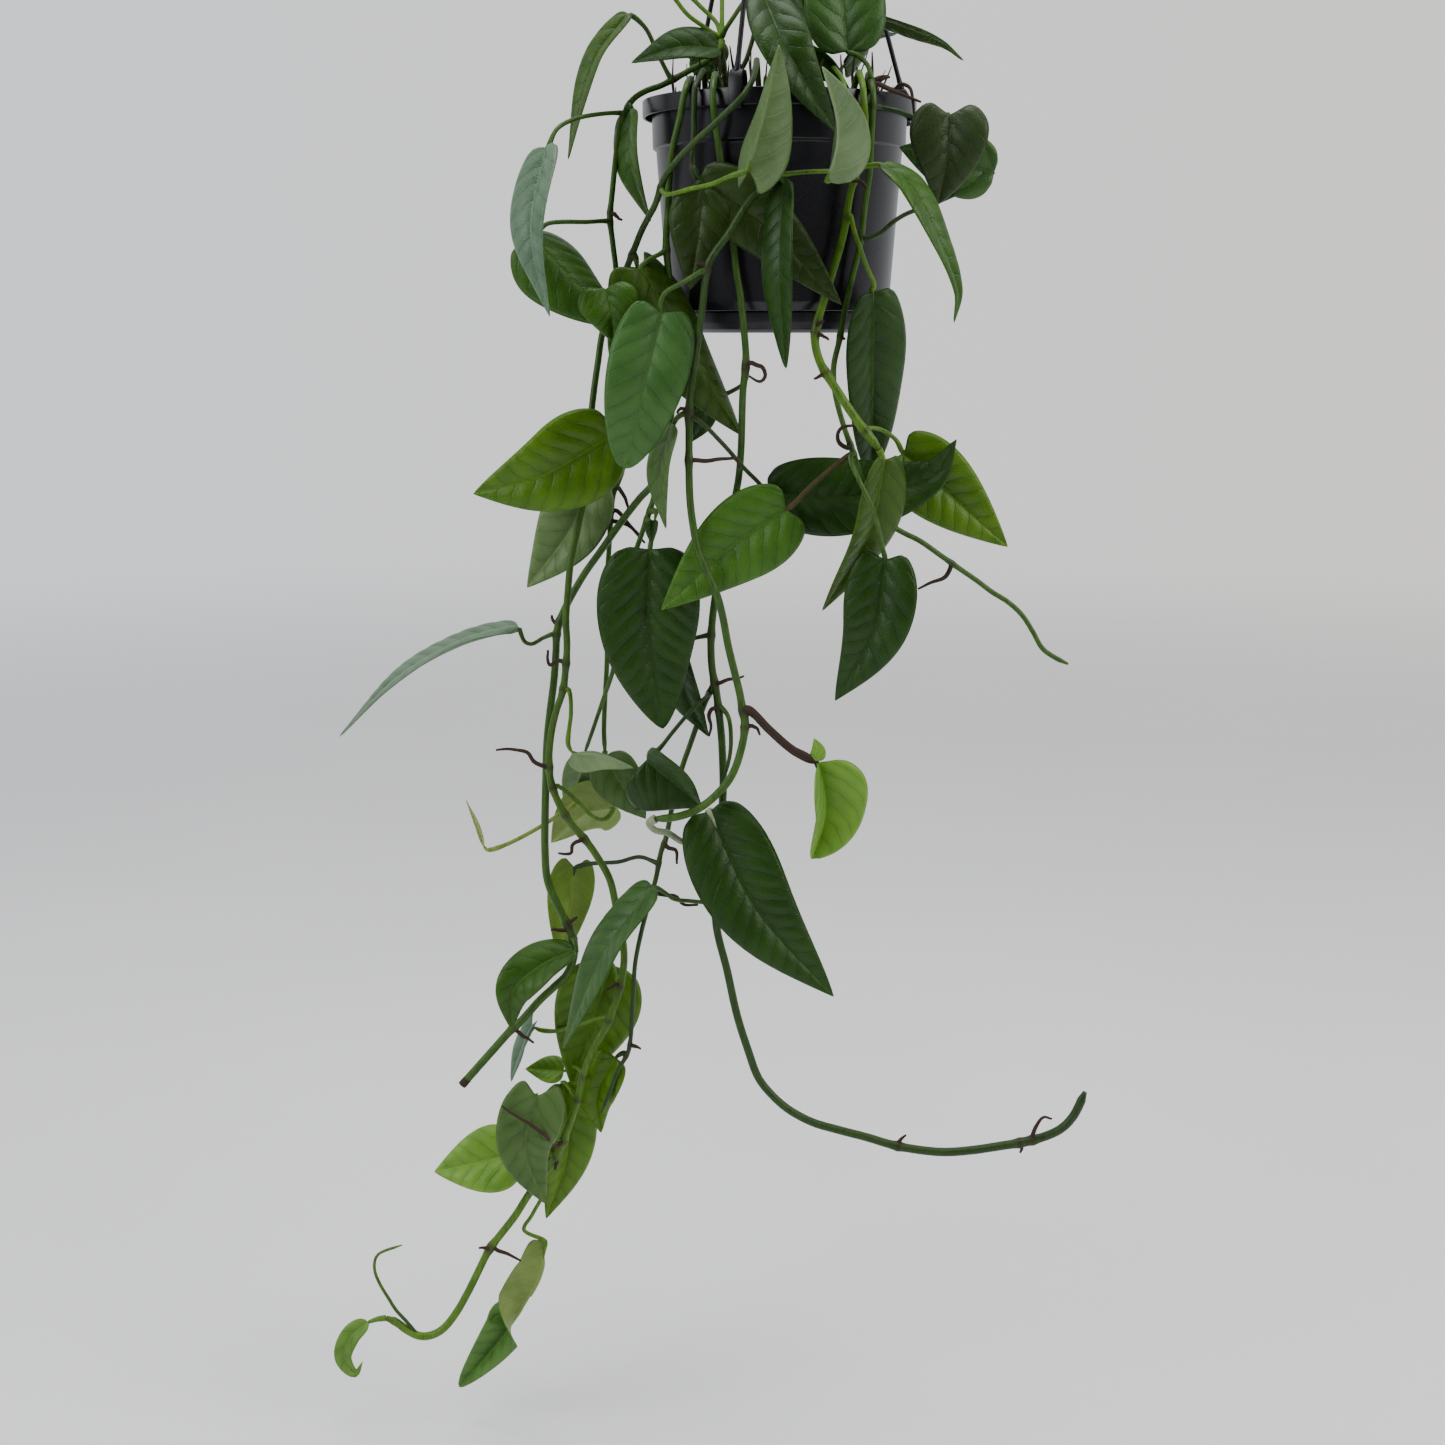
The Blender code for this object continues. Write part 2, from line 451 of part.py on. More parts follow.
def material(name, colour, roughness, metallic=0.0):
    finish = bpy.data.materials.new(name)
    finish.use_nodes = True
    shader = finish.node_tree.nodes["Principled BSDF"]
    shader.inputs["Base Color"].default_value = (*colour, 1.0)
    shader.inputs["Roughness"].default_value = roughness
    shader.inputs["Metallic"].default_value = metallic
    finish.diffuse_color = (*colour, 1.0)
    return finish


def add_mesh(name, mesh, group, finish=None):
    thing = bpy.data.objects.new(name, mesh)
    group.objects.link(thing)
    if finish is not None:
        mesh.materials.append(finish)
    return thing


def evaluated_mesh(thing):
    """The object's mesh with its modifiers done."""
    graph = bpy.context.evaluated_depsgraph_get()
    return bpy.data.meshes.new_from_object(thing.evaluated_get(graph))


def smooth_shading(mesh, degrees=35.0):
    mesh.shade_smooth()
    mesh.set_sharp_from_angle(angle=math.radians(degrees))


def make_cutter(thing):
    thing.hide_render = True
    thing.display_type = "WIRE"


def cut(thing, cutters):
    """Take the cutters out of a closed mesh object."""
    for tool in cutters:
        make_cutter(tool)
        step = thing.modifiers.new("cut " + tool.name, "BOOLEAN")
        step.operation = "DIFFERENCE"
        step.object = tool


def turned(name, profile, group, finish, steps=ROUND_STEPS):
    """A turned solid from a profile of (radius, z) that runs down the outside and back up the inside."""
    mesh = bpy.data.meshes.new(name)
    corners = [(radius, 0.0, z) for radius, z in profile]
    edges = [(i, i + 1) for i in range(len(corners) - 1)]
    mesh.from_pydata(corners, edges, [])
    thing = add_mesh(name, mesh, group, finish)
    spin = thing.modifiers.new("turn", "SCREW")
    spin.steps = steps
    spin.render_steps = steps
    spin.use_merge_vertices = True
    spin.merge_threshold = 0.00001
    turned_mesh = evaluated_mesh(thing)
    thing.modifiers.clear()
    thing.data = turned_mesh
    bpy.data.meshes.remove(mesh)
    smooth_shading(turned_mesh)
    return thing


def cylinder(name, centre, radius, depth, group, sides=12, axis=None):
    """A plain cylinder about a centre, along an axis (upright if none is given)."""
    bm = bmesh.new()
    turn = Matrix.Identity(4)
    if axis is not None:
        turn = axis.to_track_quat("Z", "Y").to_matrix().to_4x4()
    bmesh.ops.create_cone(bm, cap_ends=True, segments=sides, radius1=radius, radius2=radius,
                          depth=depth, matrix=Matrix.Translation(centre) @ turn)
    mesh = bpy.data.meshes.new(name)
    bm.to_mesh(mesh)
    bm.free()
    return add_mesh(name, mesh, group)


def tube(name, points, radii, group, roundness=0):
    """A closed tube through the points, made from a curve with filled caps; roundness 0 has 4 sides."""
    wire = bpy.data.curves.new(name, "CURVE")
    wire.dimensions = "3D"
    wire.bevel_depth = 1.0
    wire.bevel_resolution = roundness
    wire.use_fill_caps = True
    route = wire.splines.new("POLY")
    route.points.add(len(points) - 1)
    for knot, place, radius in zip(route.points, points, radii):
        knot.co = (*place, 1.0)
        knot.radius = radius
    curve = bpy.data.objects.new(name + "_curve", wire)
    group.objects.link(curve)
    mesh = evaluated_mesh(curve)
    bm = bmesh.new()
    bm.from_mesh(mesh)
    bmesh.ops.remove_doubles(bm, verts=bm.verts, dist=0.00001)
    bmesh.ops.recalc_face_normals(bm, faces=bm.faces)
    bm.to_mesh(mesh)
    bm.free()
    mesh.name = name
    thing = add_mesh(name, mesh, group)
    thing.matrix_world = curve.matrix_world.copy()
    bpy.data.objects.remove(curve, do_unlink=True)
    return thing


def union(thing, group):
    """Join every object of a collection into a closed mesh object, and remove them."""
    step = thing.modifiers.new("join", "BOOLEAN")
    step.operation = "UNION"
    step.operand_type = "COLLECTION"
    step.collection = group
    step.solver = FOLIAGE_SOLVER
    joined = evaluated_mesh(thing)
    thing.modifiers.clear()
    thing.data = joined
    for piece in list(group.objects):
        bpy.data.objects.remove(piece, do_unlink=True)
    bpy.data.collections.remove(group)
    return thing


def pot(group, cutters, finish):
    """Tapered pot with a turned-down rim, a step under it, and a foot ring that stands in the saucer."""
    top = RIM_Z
    bottom = RIM_Z - POT_HEIGHT
    skirt = RIM_RADIUS - POT_WALL
    under_rim = RIM_Z - RIM_TOP_THICKNESS
    foot_bottom = bottom - FOOT_RING_HEIGHT
    profile = [
        (BODY_TOP_RADIUS - POT_WALL, top),
        (RIM_RADIUS - 0.0005, top),
        (RIM_RADIUS, top - 0.0006),
        (RIM_RADIUS, top - RIM_SKIRT_HEIGHT),
        (skirt, top - RIM_SKIRT_HEIGHT),
        (skirt, under_rim),
        (BODY_TOP_RADIUS, under_rim),
        (BODY_TOP_RADIUS - 0.0004, top - STEP_BELOW_RIM),
        (STEP_RADIUS - 0.0006, top - STEP_BELOW_RIM - 0.0008),
        (BODY_BOTTOM_RADIUS + 0.0010, bottom + 0.0040),
        (BODY_BOTTOM_RADIUS - 0.0006, bottom),
        (FOOT_RING_RADIUS + 0.0010, bottom),
        (FOOT_RING_RADIUS, bottom - 0.0006),
        (FOOT_RING_RADIUS - 0.0006, foot_bottom),
        (FOOT_RING_RADIUS - 0.0020, foot_bottom),
        (FOOT_RING_RADIUS - 0.0026, bottom - POT_WALL),
        (STUD_HOLE_RADIUS, bottom - POT_WALL),
        (STUD_HOLE_RADIUS, bottom),
        (FOOT_RING_RADIUS - 0.0040, bottom),
        (FOOT_RING_RADIUS - 0.0030, bottom + POT_WALL),
        (BODY_BOTTOM_RADIUS - 0.0026, bottom + POT_WALL),
        (STEP_RADIUS - 0.0022, top - STEP_BELOW_RIM - 0.0010),
        (BODY_TOP_RADIUS - 0.0004 - POT_WALL, top - STEP_BELOW_RIM + 0.0004),
        (BODY_TOP_RADIUS - POT_WALL, top),
    ]
    thing = turned("pot", profile, group, finish)
    drains = []
    for i in range(DRAIN_HOLES):
        turn = 2.0 * math.pi * (i + 0.5) / DRAIN_HOLES
        centre = Vector((DRAIN_RING_RADIUS * math.cos(turn), DRAIN_RING_RADIUS * math.sin(turn), bottom))
        drains.append(cylinder(f"drain_cutter_{i + 1}", centre, DRAIN_HOLE_RADIUS, 0.01, cutters))
    cut(thing, drains)
    return thing


def saucer(group, finish):
    """Shallow dish with a rounded foot, and a stud that snaps through the pot's floor."""
    floor_top = RIM_Z - POT_HEIGHT - FOOT_RING_HEIGHT - GAP
    bottom = floor_top - SAUCER_FLOOR
    top = bottom + SAUCER_HEIGHT
    snap = RIM_Z - POT_HEIGHT + GAP
    profile = [
        (0.0, snap + 0.0026),
        (STUD_RADIUS, snap + 0.0022),
        (STUD_HEAD_RADIUS, snap + 0.0004),
        (STUD_HEAD_RADIUS, snap),
        (STUD_RADIUS, snap),
        (STUD_RADIUS, floor_top),
        (SAUCER_RADIUS - 0.0036, floor_top),
        (SAUCER_RADIUS - 0.0022, floor_top + 0.0016),
        (SAUCER_RADIUS - 0.0014, top),
        (SAUCER_RADIUS, top),
        (SAUCER_RADIUS - 0.0006, bottom + SAUCER_CORNER),
        (SAUCER_RADIUS - 0.0022, bottom + 0.0016),
        (SAUCER_RADIUS - SAUCER_CORNER, bottom),
        (0.0, bottom),
    ]
    return turned("saucer", profile, group, finish)


def soil(group, cutters, finish):
    """Fill of the pot with a low mound, a pocket over the stud, and a plain hole for each stem."""
    bottom = RIM_Z - POT_HEIGHT + POT_WALL + GAP
    step = RIM_Z - STEP_BELOW_RIM
    pocket = STUD_HEAD_RADIUS + 0.001
    profile = [
        (0.0, SOIL_Z + SOIL_MOUND * 0.6),
        (0.016, SOIL_Z + SOIL_MOUND * 0.5),
        (0.036, SOIL_Z + SOIL_MOUND * 0.2),
        (BODY_TOP_RADIUS - 0.0004 - POT_WALL - SOIL_GAP, SOIL_Z - 0.0010),
        (BODY_TOP_RADIUS - 0.0004 - POT_WALL - SOIL_GAP, step + 0.0008),
        (STEP_RADIUS - 0.0022 - SOIL_GAP, step - 0.0006),
        (BODY_BOTTOM_RADIUS - 0.0026 - SOIL_GAP, bottom),
        (pocket, bottom),
        (pocket, bottom + 0.0035),
        (0.0, bottom + 0.0035),
    ]
    thing = turned("soil", profile, group, finish)
    holes = []
    feet = [plan["foot"] for plan in VINES.values()] + [plan["foot"] for plan in BACK_SHOOTS.values()]
    for i, (x, toward) in enumerate(feet):
        centre = Vector((x / 1000.0, -toward / 1000.0, SOIL_Z))
        holes.append(cylinder(f"stem_hole_cutter_{i + 1}", centre, STEM_HOLE_RADIUS,
                              2.0 * STEM_HOLE_DEPTH, cutters, sides=8))
    cut(thing, holes)
    return thing


def strand_line(degrees):
    """Top and bottom of a strand: from the hub down to the top of its clip's arch."""
    turn = math.radians(degrees)
    out = Vector((math.sin(turn), -math.cos(turn), 0.0))
    hub_middle = hub_top() - 0.6 * HUB_HEIGHT
    top = out * STRAND_TOP_RADIUS + Vector((0.0, 0.0, hub_middle))
    clip_radius = RIM_RADIUS - 0.0020
    foot = out * clip_radius + Vector((0.0, 0.0, RIM_Z + CLIP_ARCH_ABOVE_RIM - 0.0006))
    return top, foot


def hub_top():
    return HOOK_WIRE_RADIUS - 2.0 * HOOK_LOOP_RADIUS - 0.006


def hanger_hook(group, cutters, finish):
    """Open hook on a small hub with a socket for each strand."""
    centre_z = HOOK_WIRE_RADIUS - HOOK_LOOP_RADIUS
    points = [Vector((0.0, 0.0, hub_top() - 0.5 * HUB_HEIGHT)), Vector((0.0, 0.0, hub_top() + 0.002))]
    turns = 14
    for i in range(turns + 1):
        angle = math.radians(-90.0 + (HOOK_OPEN_ANGLE + 90.0) * i / turns)
        points.append(Vector((HOOK_LOOP_RADIUS * math.cos(angle), 0.0,
                              centre_z + HOOK_LOOP_RADIUS * math.sin(angle))))
    thing = tube("hanger_hook", points, [HOOK_WIRE_RADIUS] * len(points), group, ROUND_WIRE)
    joins = collection("hook joins")
    low = hub_top() - HUB_HEIGHT
    hub_profile = [
        (0.0, hub_top() + 0.0020),
        (HOOK_WIRE_RADIUS + 0.0012, hub_top() + 0.0010),
        (HUB_RADIUS, hub_top() - 0.0015),
        (HUB_RADIUS, low + 0.0015),
        (HUB_RADIUS - 0.0020, low),
        (0.0, low),
    ]
    turned("hub", hub_profile, joins, None, 16)
    union(thing, joins)
    thing.data.materials.append(finish)
    smooth_shading(thing.data)
    sockets = []
    for name, degrees in STRAND_ANGLES.items():
        top, foot = strand_line(degrees)
        along = (foot - top).normalized()
        sockets.append(cylinder("socket_" + name, top + along * 0.0060, STRAND_RADIUS + 2.0 * GAP,
                                0.0126, cutters, sides=8, axis=along))
    cut(thing, sockets)
    return thing


def hanger_strand(name, degrees, group, finish):
    """One strand with a flat clip that straddles the pot's rim."""
    top, foot = strand_line(degrees)
    points = [top, top.lerp(foot, 0.5), foot, foot + Vector((0.0, 0.0, -0.0006))]
    thing = tube(name, points, [STRAND_RADIUS] * len(points), group, ROUND_WIRE)
    joins = collection(name + " joins")
    clip = clip_mesh(name + "_clip", joins)
    turn = Matrix.Rotation(math.radians(degrees) - math.pi / 2.0, 4, "Z")
    clip.data.transform(turn)
    union(thing, joins)
    thing.data.materials.append(finish)
    smooth_shading(thing.data)
    return thing


def clip_mesh(name, group):
    """The clip's outline in the plane of radius and height, as a filled flat curve of the strap's width."""
    inner_face = BODY_TOP_RADIUS - POT_WALL - 3.5 * GAP
    outer_face = RIM_RADIUS + GAP
    arch = RIM_Z + CLIP_ARCH_ABOVE_RIM
    thick = CLIP_THICKNESS
    low_out = RIM_Z - RIM_SKIRT_HEIGHT - GAP
    outline = [
        (inner_face - thick, RIM_Z - 0.0040),
        (inner_face, RIM_Z - 0.0040),
        (inner_face, RIM_Z + 0.0040),
        (inner_face + 0.0010, arch - 0.0016),
        (outer_face - 0.0022, arch - 0.0016),
        (outer_face, RIM_Z + 0.0036),
        (outer_face, low_out),
        (outer_face - 0.0012, low_out),
        (outer_face - 0.0012, low_out - thick),
        (outer_face + thick, low_out - thick),
        (outer_face + thick, RIM_Z + 0.0042),
        (outer_face - 0.0016, arch),
        (inner_face + 0.0004, arch),
        (inner_face - thick, RIM_Z + 0.0044),
    ]
    shape = bpy.data.curves.new(name, "CURVE")
    shape.dimensions = "2D"
    shape.fill_mode = "BOTH"
    shape.extrude = CLIP_WIDTH / 2.0
    edge = shape.splines.new("POLY")
    edge.points.add(len(outline) - 1)
    for knot, (radius, z) in zip(edge.points, outline):
        knot.co = (radius, z, 0.0, 1.0)
    edge.use_cyclic_u = True
    flat = bpy.data.objects.new(name + "_curve", shape)
    group.objects.link(flat)
    mesh = evaluated_mesh(flat)
    bm = bmesh.new()
    bm.from_mesh(mesh)
    bmesh.ops.remove_doubles(bm, verts=bm.verts, dist=0.00001)
    bmesh.ops.recalc_face_normals(bm, faces=bm.faces)
    bm.to_mesh(mesh)
    bm.free()
    mesh.transform(Matrix.Rotation(math.pi / 2.0, 4, "X"))
    bpy.data.objects.remove(flat, do_unlink=True)
    return add_mesh(name, mesh, group)


def smooth_place(points, t):
    """Place at share t of a smooth curve through the points, by a cubic between chord-spaced knots."""
    spans = [(b - a).length for a, b in zip(points, points[1:])]
    want = t * sum(spans)
    i = 0
    while i < len(spans) - 1 and want > spans[i]:
        want -= spans[i]
        i += 1
    u = want / spans[i]
    a, b = points[i], points[i + 1]
    leave = (b - a) if i == 0 else (b - points[i - 1]) * (spans[i] / (spans[i] + spans[i - 1]))
    arrive = (b - a) if i == len(spans) - 1 else (points[i + 2] - a) * (spans[i] / (spans[i] + spans[i + 1]))
    return ((2 * u ** 3 - 3 * u ** 2 + 1) * a + (u ** 3 - 2 * u ** 2 + u) * leave
            + (3 * u ** 2 - 2 * u ** 3) * b + (u ** 3 - u ** 2) * arrive)


def half_width(q, full):
    """Half width of a blade as a share of its widest, at share q from its lobes' back; full is blunt."""
    return math.sin(math.pi * min(1.0, max(0.0, q)) ** (0.62 + 0.10 * full)) ** (0.9 - 0.45 * full)


def blade_point(midrib, t, s, width, rolls, fold, lobe, turn, full, wave):
    """A point of the blade: t runs from the sinus to the tip, s from one margin (-1) to the other (1)."""
    length = sum((b - a).length for a, b in zip(midrib, midrib[1:]))
    q = BLADE_FIRST_SHARE + (1.0 - BLADE_FIRST_SHARE) * t ** 1.05
    out_along = q * (1.0 + lobe) - lobe
    rib_along = t ** 1.25
    along = rib_along + (out_along - rib_along) * abs(s) ** 1.3
    forward = max(0.0, min(1.0, along))
    place = smooth_place(midrib, forward)
    ahead = smooth_place(midrib, min(1.0, forward + 0.02))
    behind = smooth_place(midrib, max(0.0, forward - 0.02))
    tangent = (ahead - behind).normalized()
    place = place + tangent * (min(0.0, along) * length)
    facing = (EYE - place).normalized()
    facing = (facing - tangent * facing.dot(tangent)).normalized()
    aside = tangent.cross(facing)
    turned_share = max(0.0, min(1.0, (forward - turn[0]) / (turn[1] - turn[0])))
    roll = math.radians(rolls[0] + (rolls[1] - rolls[0]) * turned_share)
    upper = facing * math.cos(roll) + aside * math.sin(roll)
    side = aside * math.cos(roll) - facing * math.sin(roll)
    reach = 0.5 * width * half_width(q, full) * abs(s)
    bend = math.radians(fold)
    ripple = wave * abs(s) ** 2 * math.sin(2.0 * math.pi * (1.6 * t + 0.25 * s))
    return (place + side * (math.copysign(reach, s) * math.cos(bend))
            + upper * (reach * math.sin(bend) + ripple * (1.0 - t)))


def blade(name, midrib, width, rolls, fold, lobe, turn, full, group):
    """A leaf blade: a grid moved by formula, cut into triangles, then given its thickness."""
    length = sum((b - a).length for a, b in zip(midrib, midrib[1:]))
    rows = BLADE_ROWS_LONG if length > SHORT_BLADE else BLADE_ROWS_SHORT
    wave = BLADE_WAVE * width
    bm = bmesh.new()
    bmesh.ops.create_grid(bm, x_segments=rows, y_segments=BLADE_COLUMNS, size=1.0)
    for corner in bm.verts:
        t = (corner.co.x + 1.0) / 2.0
        corner.co = blade_point(midrib, t, corner.co.y, width, rolls, fold, lobe, turn, full, wave)
    bmesh.ops.remove_doubles(bm, verts=bm.verts, dist=0.00005)
    bmesh.ops.triangulate(bm, faces=bm.faces)
    mesh = bpy.data.meshes.new(name)
    bm.to_mesh(mesh)
    bm.free()
    thing = add_mesh(name, mesh, group)
    skin = thing.modifiers.new("thickness", "SOLIDIFY")
    skin.thickness = BLADE_THICKNESS
    skin.offset = 0.0
    return thing


def nearest_on(route, place):
    """The point of a route that is nearest to a place."""
    best = route[0]
    for a, b in zip(route, route[1:]):
        run = b - a
        share = max(0.0, min(1.0, (place - a).dot(run) / run.length_squared))
        point = a + run * share
        if (point - place).length < (best - place).length:
            best = point
    return best


def thinned(route):
    """The route without the points that lie nearly on the line between the ones kept."""
    kept = [route[0]]
    start = 0
    for end in range(2, len(route)):
        chord = [route[start], route[end]]
        between = route[start + 1:end]
        if any((nearest_on(chord, place) - place).length > ROUTE_TOLERANCE for place in between):
            start = end - 1
            kept.append(route[start])
    kept.append(route[-1])
    return kept


def start_on(routes, place):
    """The point of any of the routes that is nearest to a place."""
    return min((nearest_on(route, place) for route in routes), key=lambda point: (point - place).length)


def tapered(route, first, last):
    """A radius for each point of a route, even with length from the first to the last."""
    reached = [0.0]
    for a, b in zip(route, route[1:]):
        reached.append(reached[-1] + (b - a).length)
    return [first + (last - first) * length / reached[-1] for length in reached]


def leafy_stem(name, stem, radii, side_stems, roots, leaves, group, finish):
    """A stem with its side stems, air roots, leaf stalks and blades, joined into one solid."""
    stem = thinned(stem)
    thing = tube(name, stem, tapered(stem, radii[0] / 1000.0, radii[1] / 1000.0), group)
    joins = collection(name + " joins")
    routes = [stem]
    for i, (radius, points) in enumerate(side_stems):
        points = thinned([nearest_on(stem, points[0])] + points[1:])
        tube(f"{name}_side_{i}", points, tapered(points, radius, 0.7 * radius), joins)
        routes.append(points)
    for i, points in enumerate(roots):
        points = thinned([start_on(routes, points[0])] + points)
        tube(f"{name}_root_{i}", points, [ROOT_RADIUS] * len(points), joins)
    for i, (stalk, midrib, width, roll_base, roll_tip, fold, lobe, *special) in enumerate(leaves):
        special = special[0] if special else {}
        inner_end = smooth_place(midrib, STALK_END_SHARE)
        points = thinned([start_on(routes, stalk[0])] + stalk + [midrib[0]]) + [inner_end]
        points = points[:-2] + [place + STALK_OFF_RIB for place in points[-2:]]
        sizes = [STALK_RADIUS] * (len(points) - 1) + [STALK_END_RADIUS]
        tube(f"{name}_stalk_{i}", points, sizes, joins)
        blade(f"{name}_blade_{i}", midrib, width / 1000.0, (roll_base, roll_tip), fold, lobe,
              special.get("turn", WHOLE_LENGTH), special.get("full", 0.0), joins)
    union(thing, joins)
    thing.data.materials.append(finish)
    smooth_shading(thing.data, 50.0)
    return thing


def front_vine(name, plan, group, finish):
    """A vine laid out in the front view."""
    stem = rooted(*plan["foot"]) + seen(plan["stem"])
    side_stems = [(radius, seen(points)) for radius, points in plan.get("side_stems", [])]
    roots = [seen(points) for points in plan.get("roots", [])]
    leaves = [(seen(stalk), seen(midrib), *rest) for stalk, midrib, *rest in plan["leaves"]]
    return leafy_stem(name, stem, plan["radii"], side_stems, roots, leaves, group, finish)


# Shoots that the front view hides, in mm: right of the axis, toward the
# viewer, above the rim. Leaves as in VINES.
BACK_SHOOTS = {
    "shoot_back_left": {
        "foot": (-16, -32),
        "radii": (1.6, 1.3),
        "stem": [(-17, -42, 2), (-18, -56, 10), (-19, -68, 6), (-20, -73, -6), (-21, -72, -24),
                 (-20, -70, -42), (-17, -69, -58), (-12, -68, -72)],
        "leaves": [
            ([(-25, -74, 2)], [(-31, -78, -4), (-37, -86, -24), (-36, -84, -48)], 26, 180, 180, 8, 0.10),
            ([(-16, -75, -22)], [(-9, -79, -24), (-5, -87, -44), (-6, -83, -70)], 24, 180, 180, 8, 0.08),
            ([(-25, -75, -44)], [(-31, -77, -50), (-36, -84, -68), (-34, -78, -90)], 24, 180, 180, 8, 0.08),
            ([(-12, -69, -76)], [(-12, -71, -80), (-9, -76, -92), (-8, -72, -104)], 15, 180, 180, 8, 0.08),
            ([(-21, -40, 12)], [(-29, -35, 20), (-42, -32, 30), (-53, -32, 29)], 22, 0, 0, 8, 0.08),
        ],
    },
    "shoot_back_right": {
        "foot": (20, -30),
        "radii": (1.6, 1.3),
        "stem": [(22, -40, 2), (25, -54, 10), (28, -66, 6), (30, -70, -8), (31, -70, -26), (30, -68, -44),
                 (27, -67, -60), (24, -66, -76)],
        "leaves": [
            ([(35, -71, -2)], [(41, -74, -6), (49, -80, -28), (46, -76, -52)], 26, 180, 180, 8, 0.10),
            ([(26, -74, -30)], [(22, -78, -34), (20, -88, -54), (21, -82, -78)], 22, 180, 180, 8, 0.08),
            ([(34, -72, -50)], [(39, -73, -56), (43, -78, -72), (40, -72, -90)], 22, 180, 180, 8, 0.10),
            ([(24, -67, -80)], [(24, -69, -84), (27, -74, -94), (28, -70, -104)], 14, 180, 180, 8, 0.10),
            ([(27, -44, 12)], [(34, -46, 22), (48, -52, 38), (62, -58, 40)], 26, 70, 70, 8, 0.10),
        ],
    },
}


def back_shoot(name, plan, group, finish):
    """A shoot over the back of the rim."""
    stem = rooted(*plan["foot"]) + placed(plan["stem"])
    leaves = [(placed(stalk), placed(midrib), *rest) for stalk, midrib, *rest in plan["leaves"]]
    return leafy_stem(name, stem, plan["radii"], [], [], leaves, group, finish)


def build():
    clear_scene()
    group = collection("hanging_pothos")
    cutters = collection("cutters")
    plastic = material("charcoal_plastic", (0.035, 0.035, 0.038), 0.42)
    hanger_plastic = material("hanger_plastic", (0.045, 0.045, 0.050), 0.48)
    mix = material("potting_mix", (0.050, 0.034, 0.022), 0.95)
    green = material("blue_green_leaf", (0.095, 0.190, 0.085), 0.45)
    pot(group, cutters, plastic)
    saucer(group, material("saucer_plastic", (0.050, 0.050, 0.054), 0.45))
    soil(group, cutters, mix)
    hanger_hook(group, cutters, hanger_plastic)
    for name, degrees in STRAND_ANGLES.items():
        hanger_strand(name, degrees, group, hanger_plastic)
    for name, plan in VINES.items():
        front_vine(name, plan, group, green)
    for name, plan in BACK_SHOOTS.items():
        back_shoot(name, plan, group, green)


build()
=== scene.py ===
# %% [markdown]
# # A hanging pot with a trailing blue-green vine
#
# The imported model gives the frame: a pot on a three-strand hanger, and twelve
# leafy stems that grow in it. This notebook dresses that frame. Each stem
# grows again here with finer blades, veins and colour, along the same routes
# as in the frame, so every piece stays where the frame has it.

# %% Load the frame
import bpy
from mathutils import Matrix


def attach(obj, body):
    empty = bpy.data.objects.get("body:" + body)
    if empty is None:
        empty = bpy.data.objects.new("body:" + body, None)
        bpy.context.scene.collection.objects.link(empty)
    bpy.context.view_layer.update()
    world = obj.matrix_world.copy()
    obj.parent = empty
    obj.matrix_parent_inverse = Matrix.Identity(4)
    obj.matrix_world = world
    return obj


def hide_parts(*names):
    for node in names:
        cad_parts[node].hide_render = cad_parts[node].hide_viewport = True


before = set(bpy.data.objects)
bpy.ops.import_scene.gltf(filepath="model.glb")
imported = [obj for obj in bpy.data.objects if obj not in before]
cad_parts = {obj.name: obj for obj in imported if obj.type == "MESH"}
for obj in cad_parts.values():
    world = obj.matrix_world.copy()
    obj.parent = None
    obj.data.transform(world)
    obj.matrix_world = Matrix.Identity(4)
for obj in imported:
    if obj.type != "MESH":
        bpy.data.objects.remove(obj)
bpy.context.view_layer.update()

import math

import bpy
import numpy as np

print("nodes in the frame:", len(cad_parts))

# %% [markdown]
# ## The camera
#
# The picture was taken from a little below the rim, looking slightly down at
# the long vines. The camera stands at the same place with the same field of
# view. The vines were laid out through this view too: a point is given as
# pixels across and down, and millimetres toward the viewer from the pot's axis.

# %% Camera
RIM_Z = -0.2400
PICTURE_PX = 1445.0
FOCAL_PX = 2000.0
SENSOR_MM = 36.0
PITCH = math.radians(11.1)
EYE = np.array([-0.0278, -1.0190, RIM_Z - 0.1095])
FORWARD = np.array([0.0, math.cos(PITCH), -math.sin(PITCH)])
UP = np.array([0.0, math.sin(PITCH), math.cos(PITCH)])
RIGHT = np.array([1.0, 0.0, 0.0])

lens = bpy.data.cameras.new("camera")
lens.sensor_width = SENSOR_MM
lens.lens = SENSOR_MM * FOCAL_PX / PICTURE_PX
camera = bpy.data.objects.new("camera", lens)
camera.location = EYE
camera.rotation_euler = (math.pi / 2.0 - PITCH, 0.0, 0.0)
bpy.context.scene.collection.objects.link(camera)
bpy.context.scene.camera = camera
print("lens in mm:", round(lens.lens, 2))

# %% [markdown]
# ## Floor and soft light
#
# The real plant hangs in front of a pale seamless backdrop. A pale floor that
# fades into an equally pale sky gives the same calm ground from every side,
# without a wall that would hide the plant from behind. The sky is cool at the
# left and warmer at the right. It lights softly, less from the camera's side,
# so that round things keep a darker middle and light edges. Three large soft
# lamps stand in for the studio's.

